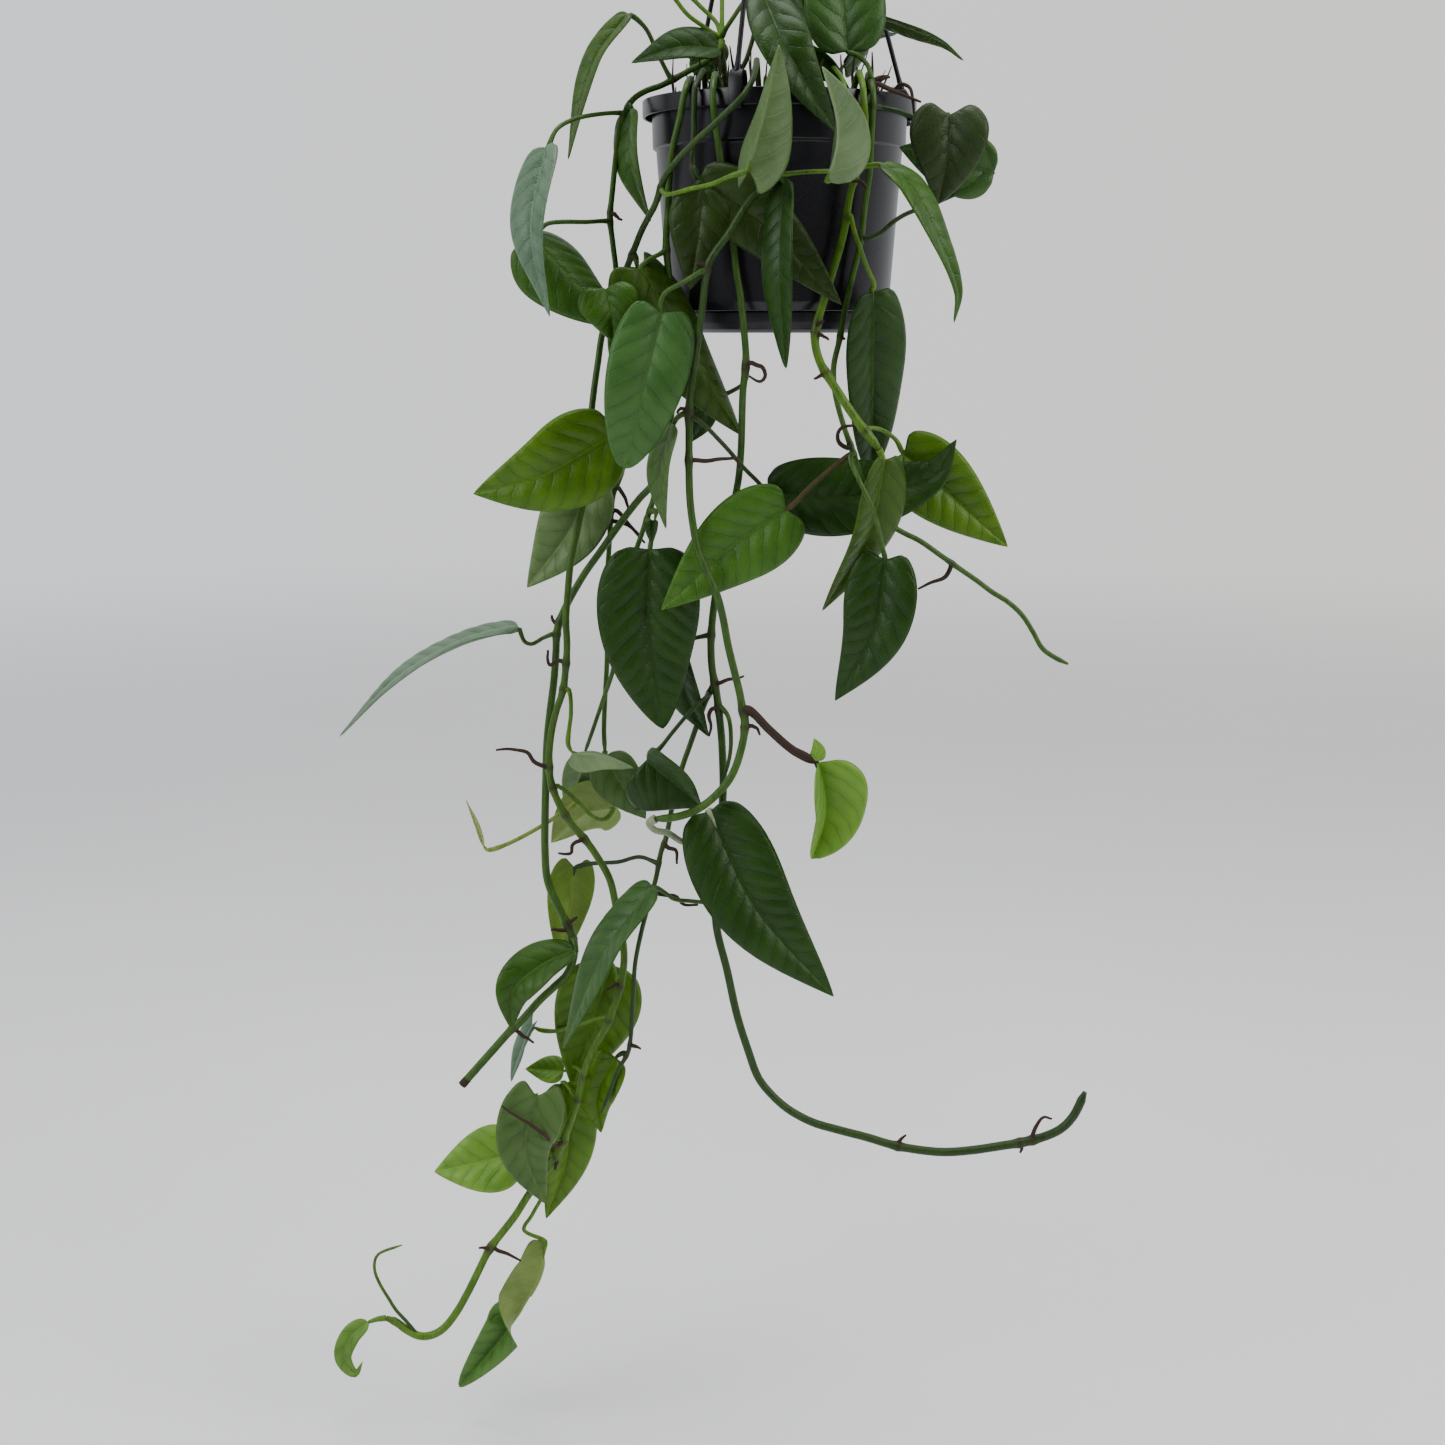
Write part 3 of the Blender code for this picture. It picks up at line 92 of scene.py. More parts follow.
# %% Floor, sky and lamps
FLOOR_Z = -0.932
FLOOR_HALF = 7.0
SKY_COOL, SKY_WARM = (1.02, 1.045, 1.10, 1.0), (1.03, 1.015, 0.985, 1.0)
COOL_X, WARM_X = -0.38, 0.34
SKY_LIGHT = (0.96, 0.975, 1.0, 1.0)
LIGHT_FRONT, LIGHT_BACK = 0.10, 0.85
FRONT_Y, BACK_Y = -0.75, 0.45
PLANT_MIDDLE = (0.0, 0.0, -0.45)
LAMPS = {
    "right_lamp": ((1.8, -0.9, 0.6), 1.2, 34.0, (1.0, 0.985, 0.96)),
    "left_lamp": ((-1.8, -1.1, 0.5), 1.2, 30.0, (0.93, 0.965, 1.0)),
    "top_lamp": ((-0.1, -0.1, 1.5), 1.4, 34.0, (1.0, 1.0, 1.0)),
}

floor_mesh = bpy.data.meshes.new("floor")
corners = np.array([[-1, -1, 0], [1, -1, 0], [1, 1, 0], [-1, 1, 0]], float) * FLOOR_HALF
corners[:, 2] = FLOOR_Z
floor_mesh.from_pydata(corners.tolist(), [], [(0, 1, 2, 3)])
floor = bpy.data.objects.new("floor", floor_mesh)
bpy.context.scene.collection.objects.link(floor)

sky = bpy.data.worlds.new("sky")
sky.use_nodes = True
bpy.context.scene.world = sky
sky_nodes, sky_links = sky.node_tree.nodes, sky.node_tree.links


def sky_node(kind, inputs, **settings):
    """A node of the sky: its settings, and the value or the link that each of its inputs takes."""
    node = sky_nodes.new("ShaderNode" + kind)
    for key, value in settings.items():
        setattr(node, key, value)
    for key, value in inputs.items():
        if isinstance(value, bpy.types.NodeSocket):
            sky_links.new(value, node.inputs[key])
        else:
            node.inputs[key].default_value = value
    return node


heading = sky_node("TexCoord", {})
split = sky_node("SeparateXYZ", {0: heading.outputs["Generated"]})
bright = sky_node("MapRange", {0: split.outputs["Y"], 1: FRONT_Y, 2: BACK_Y, 3: LIGHT_FRONT, 4: LIGHT_BACK},
                  interpolation_type="SMOOTHSTEP")
to_warm = sky_node("MapRange", {0: split.outputs["X"], 1: COOL_X, 2: WARM_X})
seen_tint = sky_node("Mix", {0: to_warm.outputs[0], 6: SKY_COOL, 7: SKY_WARM}, data_type="RGBA")
seen_sky = sky_node("Background", {"Color": seen_tint.outputs[2]})
soft = sky_nodes["Background"]
soft.inputs["Color"].default_value = SKY_LIGHT
sky_links.new(bright.outputs[0], soft.inputs["Strength"])
path = sky_node("LightPath", {})
blend = sky_node("MixShader", {0: path.outputs["Is Camera Ray"], 1: soft.outputs[0], 2: seen_sky.outputs[0]})
sky_links.new(blend.outputs[0], sky_nodes["World Output"].inputs["Surface"])


def lamp(name, place, side, watts, colour):
    """A square soft lamp at a place, turned toward the middle of the plant."""
    data = bpy.data.lights.new(name, "AREA")
    data.size = side
    data.energy = watts
    data.color = colour
    thing = bpy.data.objects.new(name, data)
    reach = np.subtract(PLANT_MIDDLE, place)
    flat = math.hypot(reach[0], reach[1])
    thing.location = place
    thing.rotation_euler = (math.atan2(flat, -reach[2]), 0.0, math.atan2(-reach[0], reach[1]))
    bpy.context.scene.collection.objects.link(thing)


for lamp_name, lamp_look in LAMPS.items():
    lamp(lamp_name, *lamp_look)
print("floor height in m:", FLOOR_Z)

# %% [markdown]
# ## Writing materials as expressions
#
# A node material is a sum of small steps. Here a socket is wrapped so that
# `1 - mask` or `a * b` adds the Math nodes, and any other node comes from one
# method. Colours are mixed by Mix nodes, because Math would turn them grey.

# %% Sockets that can be added and multiplied


class Wire:
    """A shader socket that may be used in a Python expression."""

    def __init__(self, finish, socket):
        self.finish = finish
        self.socket = socket

    def maths(self, operation, *values):
        return self.finish.node("ShaderNodeMath", {"operation": operation}, dict(enumerate(values)))

    def __add__(self, other):
        return self.maths("ADD", self, other)

    def __radd__(self, other):
        return self.maths("ADD", other, self)

    def __sub__(self, other):
        return self.maths("SUBTRACT", self, other)

    def __rsub__(self, other):
        return self.maths("SUBTRACT", other, self)

    def __mul__(self, other):
        return self.maths("MULTIPLY", self, other)

    def __rmul__(self, other):
        return self.maths("MULTIPLY", other, self)

    def __abs__(self):
        return self.maths("ABSOLUTE", self)

    def fraction(self):
        return self.maths("FRACT", self)

    def ramp(self, low, high):
        """0 up to low, 1 from high, smooth between."""
        return self.finish.node("ShaderNodeMapRange", {"interpolation_type": "SMOOTHSTEP"},
                                {0: self, 1: low, 2: high, 3: 0.0, 4: 1.0})


class Finish:
    """A node material being written; constants go straight on the shader's sockets."""

    def __init__(self, name, **constants):
        self.material = bpy.data.materials.new(name)
        self.material.use_nodes = True
        self.tree = self.material.node_tree
        self.shader = self.tree.nodes["Principled BSDF"]
        for key, value in constants.items():
            self.shader.inputs[key.replace("_", " ")].default_value = value

    def node(self, kind, settings=None, inputs=None, output=0):
        """Any node: its type, its settings, and the values or links of its sockets."""
        node = self.tree.nodes.new(kind)
        for key, value in (settings or {}).items():
            setattr(node, key, value)
        for key, value in (inputs or {}).items():
            self.feed(node.inputs[key], value)
        return Wire(self, node.outputs[output])

    def feed(self, socket, value):
        if isinstance(value, Wire):
            self.tree.links.new(value.socket, socket)
        else:
            socket.default_value = value

    def drive(self, **inputs):
        for key, value in inputs.items():
            self.feed(self.shader.inputs[key.replace("_", " ")], value)

    def place(self):
        return self.node("ShaderNodeTexCoord", None, None, 3)

    def attribute(self, name, output=0):
        return self.node("ShaderNodeAttribute", {"attribute_name": name}, None, output)

    def parts(self, vector):
        """The three numbers of a vector."""
        return [self.node("ShaderNodeSeparateXYZ", None, {0: vector}, i) for i in range(3)]

    def noise(self, place, scale, detail=2.0):
        return self.node("ShaderNodeTexNoise", None, {"Vector": place, "Scale": scale, "Detail": detail})

    def stretched(self, place, scales):
        """A place with each of its directions scaled."""
        return self.node("ShaderNodeVectorMath", {"operation": "MULTIPLY"}, {0: place, 1: scales})

    def mix(self, share, first, second, blend_type="MIX"):
        """Two colours mixed by a share; each is a socket or three numbers."""
        first, second = [given if isinstance(given, Wire) else (*given, 1.0) for given in (first, second)]
        return self.node("ShaderNodeMix", {"data_type": "RGBA", "blend_type": blend_type},
                         {0: share, 6: first, 7: second}, 2)

    def times(self, colour, factors):
        """A colour with each of its channels scaled."""
        return self.mix(1.0, colour, factors, "MULTIPLY")

    def bump(self, height, distance, strength):
        return self.node("ShaderNodeBump", None,
                         {"Height": height, "Distance": distance, "Strength": strength})


print("material helpers are ready")

# %% [markdown]
# ## Floor finish
#
# Smooth pale paper: nearly white, matt, with a very faint mottling. It fades
# out some metres away, where the sky takes over.

# %% Floor finish
FADE_START, FADE_END = 1.0, 4.5
paper = Finish("pale_paper", Roughness=0.9, Specular_IOR_Level=0.2)
spot = paper.place()
mottle = paper.noise(spot, 3.0).ramp(0.35, 0.65)
away = paper.node("ShaderNodeVectorMath", {"operation": "LENGTH"}, {0: spot}, "Value")
paper.drive(Base_Color=paper.mix(mottle * 0.5, (0.80, 0.80, 0.81), (0.76, 0.76, 0.77)),
            Alpha=1.0 - away.ramp(FADE_START, FADE_END))
floor_mesh.materials.append(paper.material)
print("finish:", paper.material.name)

# %% [markdown]
# ## Moulded plastic
#
# The pot, its saucer and the hanger are charcoal plastic. The pot has a low
# gloss with a fine moulded grain and a little dust; the hanger is more satin.
# Roughness and a little bump carry this, while the colour hardly changes.

# %% Plastic finishes
PLASTICS = {
    "pot_plastic": ((0.0035, 0.0030, 0.0055), (0.014, 0.013, 0.018), 0.27, 0.42, 900.0),
    "saucer_plastic": ((0.0110, 0.0100, 0.0145), (0.026, 0.025, 0.031), 0.36, 0.40, 1100.0),
    "hanger_plastic": ((0.0065, 0.0060, 0.0080), (0.018, 0.018, 0.021), 0.38, 0.30, 1300.0),
}
GRAIN_DEPTH, GRAIN_STRENGTH = 0.00008, 0.20


def plastic(name, colour, dusty, roughness, gloss, grain):
    """Charcoal plastic: a few specks of dust lighten it, and a grain of about a mm breaks the gloss."""
    finish = Finish(name, Specular_IOR_Level=gloss)
    place = finish.place()
    cloud = finish.noise(place, 24.0, 2.0).ramp(0.30, 0.80)
    dust = finish.noise(place, 2600.0, 0.0).ramp(0.70, 0.80)
    wear = cloud * 0.30 + dust * 0.45
    finish.drive(Base_Color=finish.mix(wear, colour, dusty),
                 Roughness=roughness + wear * 0.16,
                 Normal=finish.bump(finish.noise(place, grain, 2.0), GRAIN_DEPTH, GRAIN_STRENGTH))
    return finish.material


plastics = {slot: plastic(slot + "_finish", *look) for slot, look in PLASTICS.items()}
print("plastics:", [finish.name for finish in plastics.values()])

# %% [markdown]
# ## Potting mix
#
# Moist, crumbly and dark brown, with paler bark and a few white grains. Noise
# of two sizes gives bark and grains their colour, and cells in the bump give
# the crumbs their edges.

# %% Potting mix finish
CRUMB_DEPTH, CRUMB_STRENGTH = 0.0008, 0.7
mix_finish = Finish("potting_mix_finish", Specular_IOR_Level=0.25)
spot = mix_finish.place()
crumb = mix_finish.node("ShaderNodeTexVoronoi", None, {"Vector": spot, "Scale": 420.0})
shade = mix_finish.noise(spot, 160.0, 4.0)
brown = mix_finish.mix(shade.ramp(0.35, 0.7), (0.012, 0.008, 0.005), (0.062, 0.038, 0.022))
white_grains = mix_finish.noise(spot, 300.0, 0.0).ramp(0.83, 0.86)
mix_finish.drive(Base_Color=mix_finish.mix(white_grains, brown, (0.55, 0.52, 0.47)),
                 Roughness=0.96 - shade * 0.15,
                 Normal=mix_finish.bump(crumb + shade * 0.6, CRUMB_DEPTH, CRUMB_STRENGTH))
print("finish:", mix_finish.material.name)

# %% [markdown]
# ## Leaf, stem and root
#
# A blade carries three attributes. `tint` is its colour: on the real plant each
# leaf differs with its age and its side, and on leaves with light behind them
# the tint also holds painted backlight, a brighter yellow-green in place of
# light through the leaf. `vein` holds the place among the side veins, the
# distance from the midrib in mm, and which face it is; `edge` is 1 at the
# margin. Side veins are sunk; above they are darker by painted shade, beneath
# they are paler in their own colour. The tissue between them swells and gets
# painted light. Mottled patches, partly uneven tone, mix a paler, bluer copy of
# the tint as painted sheen with a darker copy as painted shade, and small paler
# flecks are painted glints. The margin is a thin pale line, and a fine net of
# cells breaks the satin gloss.

# %% Leaf finish
RELIEF_DEPTH, RELIEF_STRENGTH = 0.00040, 0.50
leaf = Finish("leaf_finish", Specular_IOR_Level=0.26, Sheen_Weight=0.03, Sheen_Roughness=0.35,
              Sheen_Tint=(0.70, 0.90, 1.0, 1.0))
# tint: each leaf's own colour; on backlit leaves it also holds painted backlight
tint = leaf.attribute("tint")
phase, off_rib, face_up = leaf.parts(leaf.attribute("vein", 1))
margin = leaf.attribute("edge", 2).ramp(0.90, 0.99)
spot = leaf.place()
waver = (leaf.noise(spot, 130.0, 2.0) - 0.5) * 0.55
from_vein = abs((phase + waver).fraction() - 0.5) * 2.0
side_vein = from_vein.ramp(0.80, 0.99)
# painted light on the swelling tissue between the side veins
between = (1.0 - from_vein).ramp(0.15, 0.95)
rib = 1.0 - off_rib.ramp(0.25, 1.1)
cells = leaf.node("ShaderNodeTexVoronoi", {"feature": "DISTANCE_TO_EDGE"}, {"Vector": spot, "Scale": 620.0})
net = 1.0 - cells.ramp(0.02, 0.16)
patch = leaf.noise(spot, 55.0, 3.0).ramp(0.3, 0.7)
fleck = leaf.noise(spot, 900.0, 2.0).ramp(0.45, 0.75)
crease = leaf.noise(spot, 260.0, 2.0)
# a paler, bluer copy of the tint for painted sheen, and a darker copy for painted shade
lighter_tone_and_sheen = leaf.times(tint, (1.30, 1.22, 1.30))
darker_tone_and_shade = leaf.times(tint, (0.74, 0.80, 0.72))
# mottled patches, partly uneven tone, and the swells take the painted sheen; the rest takes the painted
# shade
body = leaf.mix(patch * 0.72 + between * 0.20, darker_tone_and_shade, lighter_tone_and_sheen)
# side veins: painted shade in the sunk line above, their own paler colour beneath
vein_shade_and_tint = leaf.mix(face_up, (1.30, 1.22, 1.25), (0.58, 0.66, 0.56))
rib_tint = leaf.mix(face_up, (1.55, 1.40, 1.45), (1.60, 1.40, 1.5))
body = leaf.mix(side_vein * 0.45, body, leaf.times(body, vein_shade_and_tint))
body = leaf.mix(rib * 0.75, body, leaf.times(tint, rib_tint))
# the net and the margin are paler in their own colour; the flecks are painted glints
body = leaf.mix(net * 0.06 + fleck * 0.08 + margin * 0.55, body, leaf.times(tint, (1.75, 1.55, 1.7)))
relief = side_vein * -0.6 + net * -0.20 + fleck * 0.12 + crease * 0.6 + patch * 0.8
leaf.drive(Base_Color=body,
           Roughness=0.50 - face_up * 0.15 + patch * 0.07 + net * 0.05,
           Metallic=face_up * (0.05 + fleck * 0.08),
           Normal=leaf.bump(relief, RELIEF_DEPTH, RELIEF_STRENGTH))
print("finish:", leaf.material.name)

# %% Stem and root finishes
stem = Finish("stem_finish", Specular_IOR_Level=0.30)
stem_tint = stem.attribute("tint")
spot = stem.place()
line = stem.noise(stem.stretched(spot, (900.0, 900.0, 90.0)), 1.0, 3.0).ramp(0.35, 0.7)
blotch = stem.noise(spot, 120.0, 3.0).ramp(0.35, 0.75)
stem_dark = stem.times(stem_tint, (0.62, 0.66, 0.60))
stem_light = stem.times(stem_tint, (1.45, 1.30, 1.35))
stem.drive(Base_Color=stem.mix(line * 0.5 + blotch * 0.4, stem_dark, stem_light),
           Roughness=0.40 + blotch * 0.15,
           Normal=stem.bump(line, 0.00015, 0.35))

root = Finish("root_finish", Specular_IOR_Level=0.3)
root_tint = root.attribute("tint")
spot = root.place()
bark = root.noise(root.stretched(spot, (700.0, 700.0, 250.0)), 1.0, 4.0).ramp(0.3, 0.75)
root_light = root.times(root_tint, (1.7, 1.6, 1.5))
root.drive(Base_Color=root.mix(bark * 0.7, root_tint, root_light),
           Roughness=0.72 + bark * 0.15,
           Normal=root.bump(bark, 0.00030, 0.6))
print("finishes:", stem.material.name, root.material.name)

# %% [markdown]
# ## A piece and how it joins the frame
#
# Parts of one stem are worked out as separate closed surfaces, each on its own
# grid, and gathered into one mesh. The piece then rides on the body and stands
# for its node, which is hidden.

# %% Gathering surfaces into a piece
FINISHES = {"leaf": leaf.material, "stem": stem.material, "root": root.material}


def add_piece(name, places, faces, finishes, node):
    """A mesh object from places and faces, which rides on the body and replaces a node."""
    mesh = bpy.data.meshes.new(name)
    mesh.from_pydata(places.tolist(), [], faces)
    mesh.validate()
    mesh.shade_smooth()
    for finish in finishes:
        mesh.materials.append(finish)
    piece = bpy.data.objects.new(name, mesh)
    bpy.context.scene.collection.objects.link(piece)
    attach(piece, "root")
    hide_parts(node)
    return piece


def shifted(faces, count):
    """Faces whose places come after that many others."""
    return [[corner + count for corner in face] for face in faces]


class Growth:
    """Closed surfaces of one plant piece, with their tints, vein places and finishes."""

    def __init__(self):
        self.places, self.faces, self.tints, self.veins, self.finishes = [], [], [], [], []
        self.count = 0

    def add(self, places, faces, tints, finish, veins=None):
        """Take in one closed surface: places (n, 3), faces, and a colour for all or for each place."""
        places = places.reshape(-1, 3)
        self.places.append(places)
        self.faces += shifted(faces, self.count)
        self.tints.append(np.broadcast_to(tints, (len(places), 3)))
        self.veins.append(np.zeros((len(places), 4)) if veins is None else veins)
        self.finishes += [list(FINISHES).index(finish)] * len(faces)
        self.count += len(places)

    def finish(self, name, node):
        """Make the piece, with its colours and vein places as attributes of its points."""
        places = np.concatenate(self.places)
        piece = add_piece(name, places, self.faces, FINISHES.values(), node)
        mesh = piece.data
        mesh.polygons.foreach_set("material_index", self.finishes)
        colours = np.ones((self.count, 4))
        colours[:, :3] = np.concatenate(self.tints)
        tints = mesh.attributes.new("tint", "FLOAT_COLOR", "POINT")
        tints.data.foreach_set("color", colours.ravel())
        veins = np.concatenate(self.veins)
        marks = mesh.attributes.new("vein", "FLOAT_VECTOR", "POINT")
        marks.data.foreach_set("vector", veins[:, :3].ravel())
        mesh.attributes.new("edge", "FLOAT", "POINT").data.foreach_set("value", veins[:, 3])
        mesh.update()
        return piece


print("finishes a plant piece can carry:", list(FINISHES))

# %% [markdown]
# ## Turned pieces
#
# Pot, saucer and hub are round mouldings. A profile of radius and height is
# rounded at its corners, then carried round the axis: angle is one parameter
# of the grid, the place along the profile is the other.

# %% Turned surfaces
TURN_STEPS = 112


def rounded(profile, radius, closed):
    """Cut each corner and put a parabola in: (1-u)^2 a + 2u(1-u) corner + u^2 b, with a, b at most
    one radius, or 0.4 of the side, away from it."""
    profile = np.array(profile, float)
    before = np.roll(profile, 1, axis=0) - profile
    after = np.roll(profile, -1, axis=0) - profile
    reach = [np.minimum(radius / np.maximum(np.linalg.norm(way, axis=1), 1e-9), 0.4)[:, None]
             for way in (before, after)]
    a = profile + before * reach[0]
    b = profile + after * reach[1]
    u = np.array([0.0, 0.25, 0.5, 0.75, 1.0])[None, :, None]
    arcs = (1 - u) ** 2 * a[:, None] + 2 * u * (1 - u) * profile[:, None] + u ** 2 * b[:, None]
    if closed:
        return arcs.reshape(-1, 2)
    return np.concatenate([profile[:1], arcs[1:-1].reshape(-1, 2), profile[-1:]])


def grid_faces(grid):
    """Quads between the neighbouring places of an index grid."""
    return np.stack([grid[:-1, :-1], grid[:-1, 1:], grid[1:, 1:], grid[1:, :-1]], axis=-1).reshape(-1, 4)


def ring_grid(rings, steps):
    """Index grid of closed rings: its first column comes again at the end."""
    grid = np.arange(rings * steps).reshape(rings, steps)
    return np.concatenate([grid, grid[:, :1]], axis=1)


def fan(first, second, middle):
    """Triangles from neighbours on a ring to one place."""
    return np.stack([first, second, np.full(len(first), middle)], axis=-1).tolist()


def turned(profile, steps=TURN_STEPS):
    """x = r cos(turn), y = r sin(turn), z = z; the profile runs down the outside, and closes on
    itself or ends on the axis at both ends."""
    profile = np.asarray(profile, float)
    turn = 2.0 * np.pi * np.arange(steps) / steps
    on_axis = profile[0, 0] < 1e-6
    ring = profile[1:-1] if on_axis else profile
    places = np.stack([np.outer(ring[:, 0], np.cos(turn)), np.outer(ring[:, 0], np.sin(turn)),
                       np.repeat(ring[:, 1:], steps, axis=1)], axis=-1).reshape(-1, 3)
    grid = ring_grid(len(ring), steps)
    if not on_axis:
        grid = np.concatenate([grid, grid[:1]], axis=0)
    faces = grid_faces(grid)[:, ::-1].tolist()
    if on_axis:
        faces += fan(grid[0, :-1], grid[0, 1:], len(places))
        faces += fan(grid[-1, 1:], grid[-1, :-1], len(places) + 1)
        places = np.concatenate([places, [(0.0, 0.0, profile[0, 1]), (0.0, 0.0, profile[-1, 1])]])
    return places, faces


print("steps round a turned piece:", TURN_STEPS)

# %% [markdown]
# ## The pot
#
# A thin nursery pot: straight taper, a step below the turned-down rim, drain
# holes, and a foot ring that stands in the saucer. It is a closed shell with a
# real wall, so the profile goes down the outside and up the inside.

# %% Pot
POT_HEIGHT, POT_WALL = 0.1005, 0.0014
RIM_RADIUS, RIM_SKIRT = 0.0670, 0.0080
BODY_TOP, STEP_RADIUS, STEP_BELOW, BODY_LOW = 0.0625, 0.0610, 0.0225, 0.0540
FOOT_RADIUS, FOOT_HEIGHT = 0.0420, 0.0085
STUD_HOLE, DRAIN_RADIUS, DRAIN_RING = 0.0050, 0.0032, 0.0270
DRAIN_HOLES, DRILL_DEPTH, DRILL_SIDES = 4, 0.01, 24
POT_CORNER, SAUCER_CORNER, HUB_CORNER = 0.0007, 0.0006, 0.0008
GAP = 0.0003
POT_LOW = RIM_Z - POT_HEIGHT
FOOT_LOW = POT_LOW - FOOT_HEIGHT
STEP_Z = RIM_Z - STEP_BELOW
BODY_STEP = BODY_TOP - 0.0004
STEP_INNER, LOW_INNER = STEP_RADIUS - 0.0022, BODY_LOW - 0.0026


def drilled(piece, centres, radius, depth):
    """Round holes cut through a piece; the cutters are turned cylinders that are then removed."""
    cutter = [(0.0, depth / 2), (radius, depth / 2), (radius, -depth / 2), (0.0, -depth / 2)]
    places, faces = turned(cutter, DRILL_SIDES)
    for centre in centres:
        mesh = bpy.data.meshes.new("drill")
        mesh.from_pydata((places + centre).tolist(), [], faces)
        drill = bpy.data.objects.new("drill", mesh)
        bpy.context.scene.collection.objects.link(drill)
        step = piece.modifiers.new("drill", "BOOLEAN")
        step.object = drill
        graph = bpy.context.evaluated_depsgraph_get()
        cut = bpy.data.meshes.new_from_object(piece.evaluated_get(graph))
        piece.modifiers.clear()
        piece.data = cut
        bpy.data.objects.remove(drill, do_unlink=True)


pot_profile = [
    (BODY_TOP - POT_WALL, RIM_Z), (RIM_RADIUS, RIM_Z), (RIM_RADIUS, RIM_Z - RIM_SKIRT),
    (RIM_RADIUS - POT_WALL, RIM_Z - RIM_SKIRT), (RIM_RADIUS - POT_WALL, RIM_Z - POT_WALL),
    (BODY_TOP, RIM_Z - POT_WALL), (BODY_STEP, STEP_Z), (STEP_RADIUS - 0.0006, STEP_Z - 0.0008),
    (BODY_LOW + 0.0010, POT_LOW + 0.0040), (BODY_LOW - 0.0006, POT_LOW), (FOOT_RADIUS + 0.0010, POT_LOW),
    (FOOT_RADIUS, POT_LOW - 0.0006), (FOOT_RADIUS - 0.0006, FOOT_LOW), (FOOT_RADIUS - 0.0020, FOOT_LOW),
    (FOOT_RADIUS - 0.0026, POT_LOW - POT_WALL), (STUD_HOLE, POT_LOW - POT_WALL), (STUD_HOLE, POT_LOW),
    (FOOT_RADIUS - 0.0040, POT_LOW), (FOOT_RADIUS - 0.0030, POT_LOW + POT_WALL),
    (LOW_INNER, POT_LOW + POT_WALL), (STEP_INNER, STEP_Z - 0.0010), (BODY_STEP - POT_WALL, STEP_Z + 0.0004),
]
places, faces = turned(rounded(pot_profile, POT_CORNER, True))
pot = add_piece("pot_shell", places, faces, [plastics["pot_plastic"]], "pot")
drain_turns = 2.0 * np.pi * (np.arange(DRAIN_HOLES) + 0.5) / DRAIN_HOLES
drains = [(DRAIN_RING * math.cos(turn), DRAIN_RING * math.sin(turn), POT_LOW) for turn in drain_turns]
drilled(pot, drains, DRAIN_RADIUS, DRILL_DEPTH)
print("pot faces:", len(pot.data.polygons))

# %% [markdown]
# ## The saucer
#
# A shallow dish with a rounded foot. A stud in its middle snaps through the
# pot's floor, which is how such a saucer hangs under the pot.

# %% Saucer
SAUCER_RADIUS, SAUCER_HEIGHT, SAUCER_FLOOR, SAUCER_FOOT = 0.0464, 0.0100, 0.0015, 0.0050
STUD_RADIUS, STUD_HEAD = 0.0042, 0.0060
dish_top = FOOT_LOW - GAP
dish_low = dish_top - SAUCER_FLOOR
snap = POT_LOW + GAP
saucer_profile = [
    (0.0, snap + 0.0026), (STUD_RADIUS, snap + 0.0022), (STUD_HEAD, snap + 0.0004), (STUD_HEAD, snap),
    (STUD_RADIUS, snap), (STUD_RADIUS, dish_top), (SAUCER_RADIUS - 0.0036, dish_top),
    (SAUCER_RADIUS - 0.0022, dish_top + 0.0016), (SAUCER_RADIUS - 0.0014, dish_low + SAUCER_HEIGHT),
    (SAUCER_RADIUS, dish_low + SAUCER_HEIGHT), (SAUCER_RADIUS - 0.0006, dish_low + SAUCER_FOOT),
    (SAUCER_RADIUS - 0.0022, dish_low + 0.0016), (SAUCER_RADIUS - SAUCER_FOOT, dish_low), (0.0, dish_low),
]
places, faces = turned(rounded(saucer_profile, SAUCER_CORNER, False))
saucer = add_piece("saucer_dish", places, faces, [plastics["saucer_plastic"]], "saucer")
print("saucer faces:", len(saucer.data.polygons))

# %% [markdown]
# ## The potting mix
#
# A fill with a low, crumbly mound. The top is a turned surface whose height
# also gets lumps: sums of waves of several lengths and directions, so that no
# two places look the same. Stems rise straight through it.

# %% Potting mix
SOIL_Z = RIM_Z - 0.0170
SOIL_LOW = POT_LOW + POT_WALL + GAP
SOIL_GAP = 0.0006
SOIL_EDGE = BODY_STEP - POT_WALL - SOIL_GAP
SOIL_MOUND = 0.0050
MOUND_RADII, MOUND_SHARES = (0.0, 0.016, 0.036, SOIL_EDGE), (0.6, 0.5, 0.2, -0.2)
STUD_ROOM, STUD_ROOM_HEIGHT = 0.0070, 0.0035
SOIL_RINGS, SOIL_STEPS = 46, 150
WAVES = 24
LUMPS = ((0.0011, 0.011, 3), (0.0008, 0.0042, 4))


def lumps(x, y, size, seed):
    """2.2 times the mean of plane waves, each with a random direction, phase and length near the size."""
    draw = np.random.default_rng(seed)
    heading = draw.uniform(0.0, 2.0 * np.pi, WAVES)
    length = size * draw.uniform(0.6, 1.8, WAVES)
    phase_at = draw.uniform(0.0, 2.0 * np.pi, WAVES)
    ahead = x[..., None] * np.cos(heading) + y[..., None] * np.sin(heading)
    return np.sin(2.0 * np.pi * ahead / length + phase_at).mean(axis=-1) * 2.2


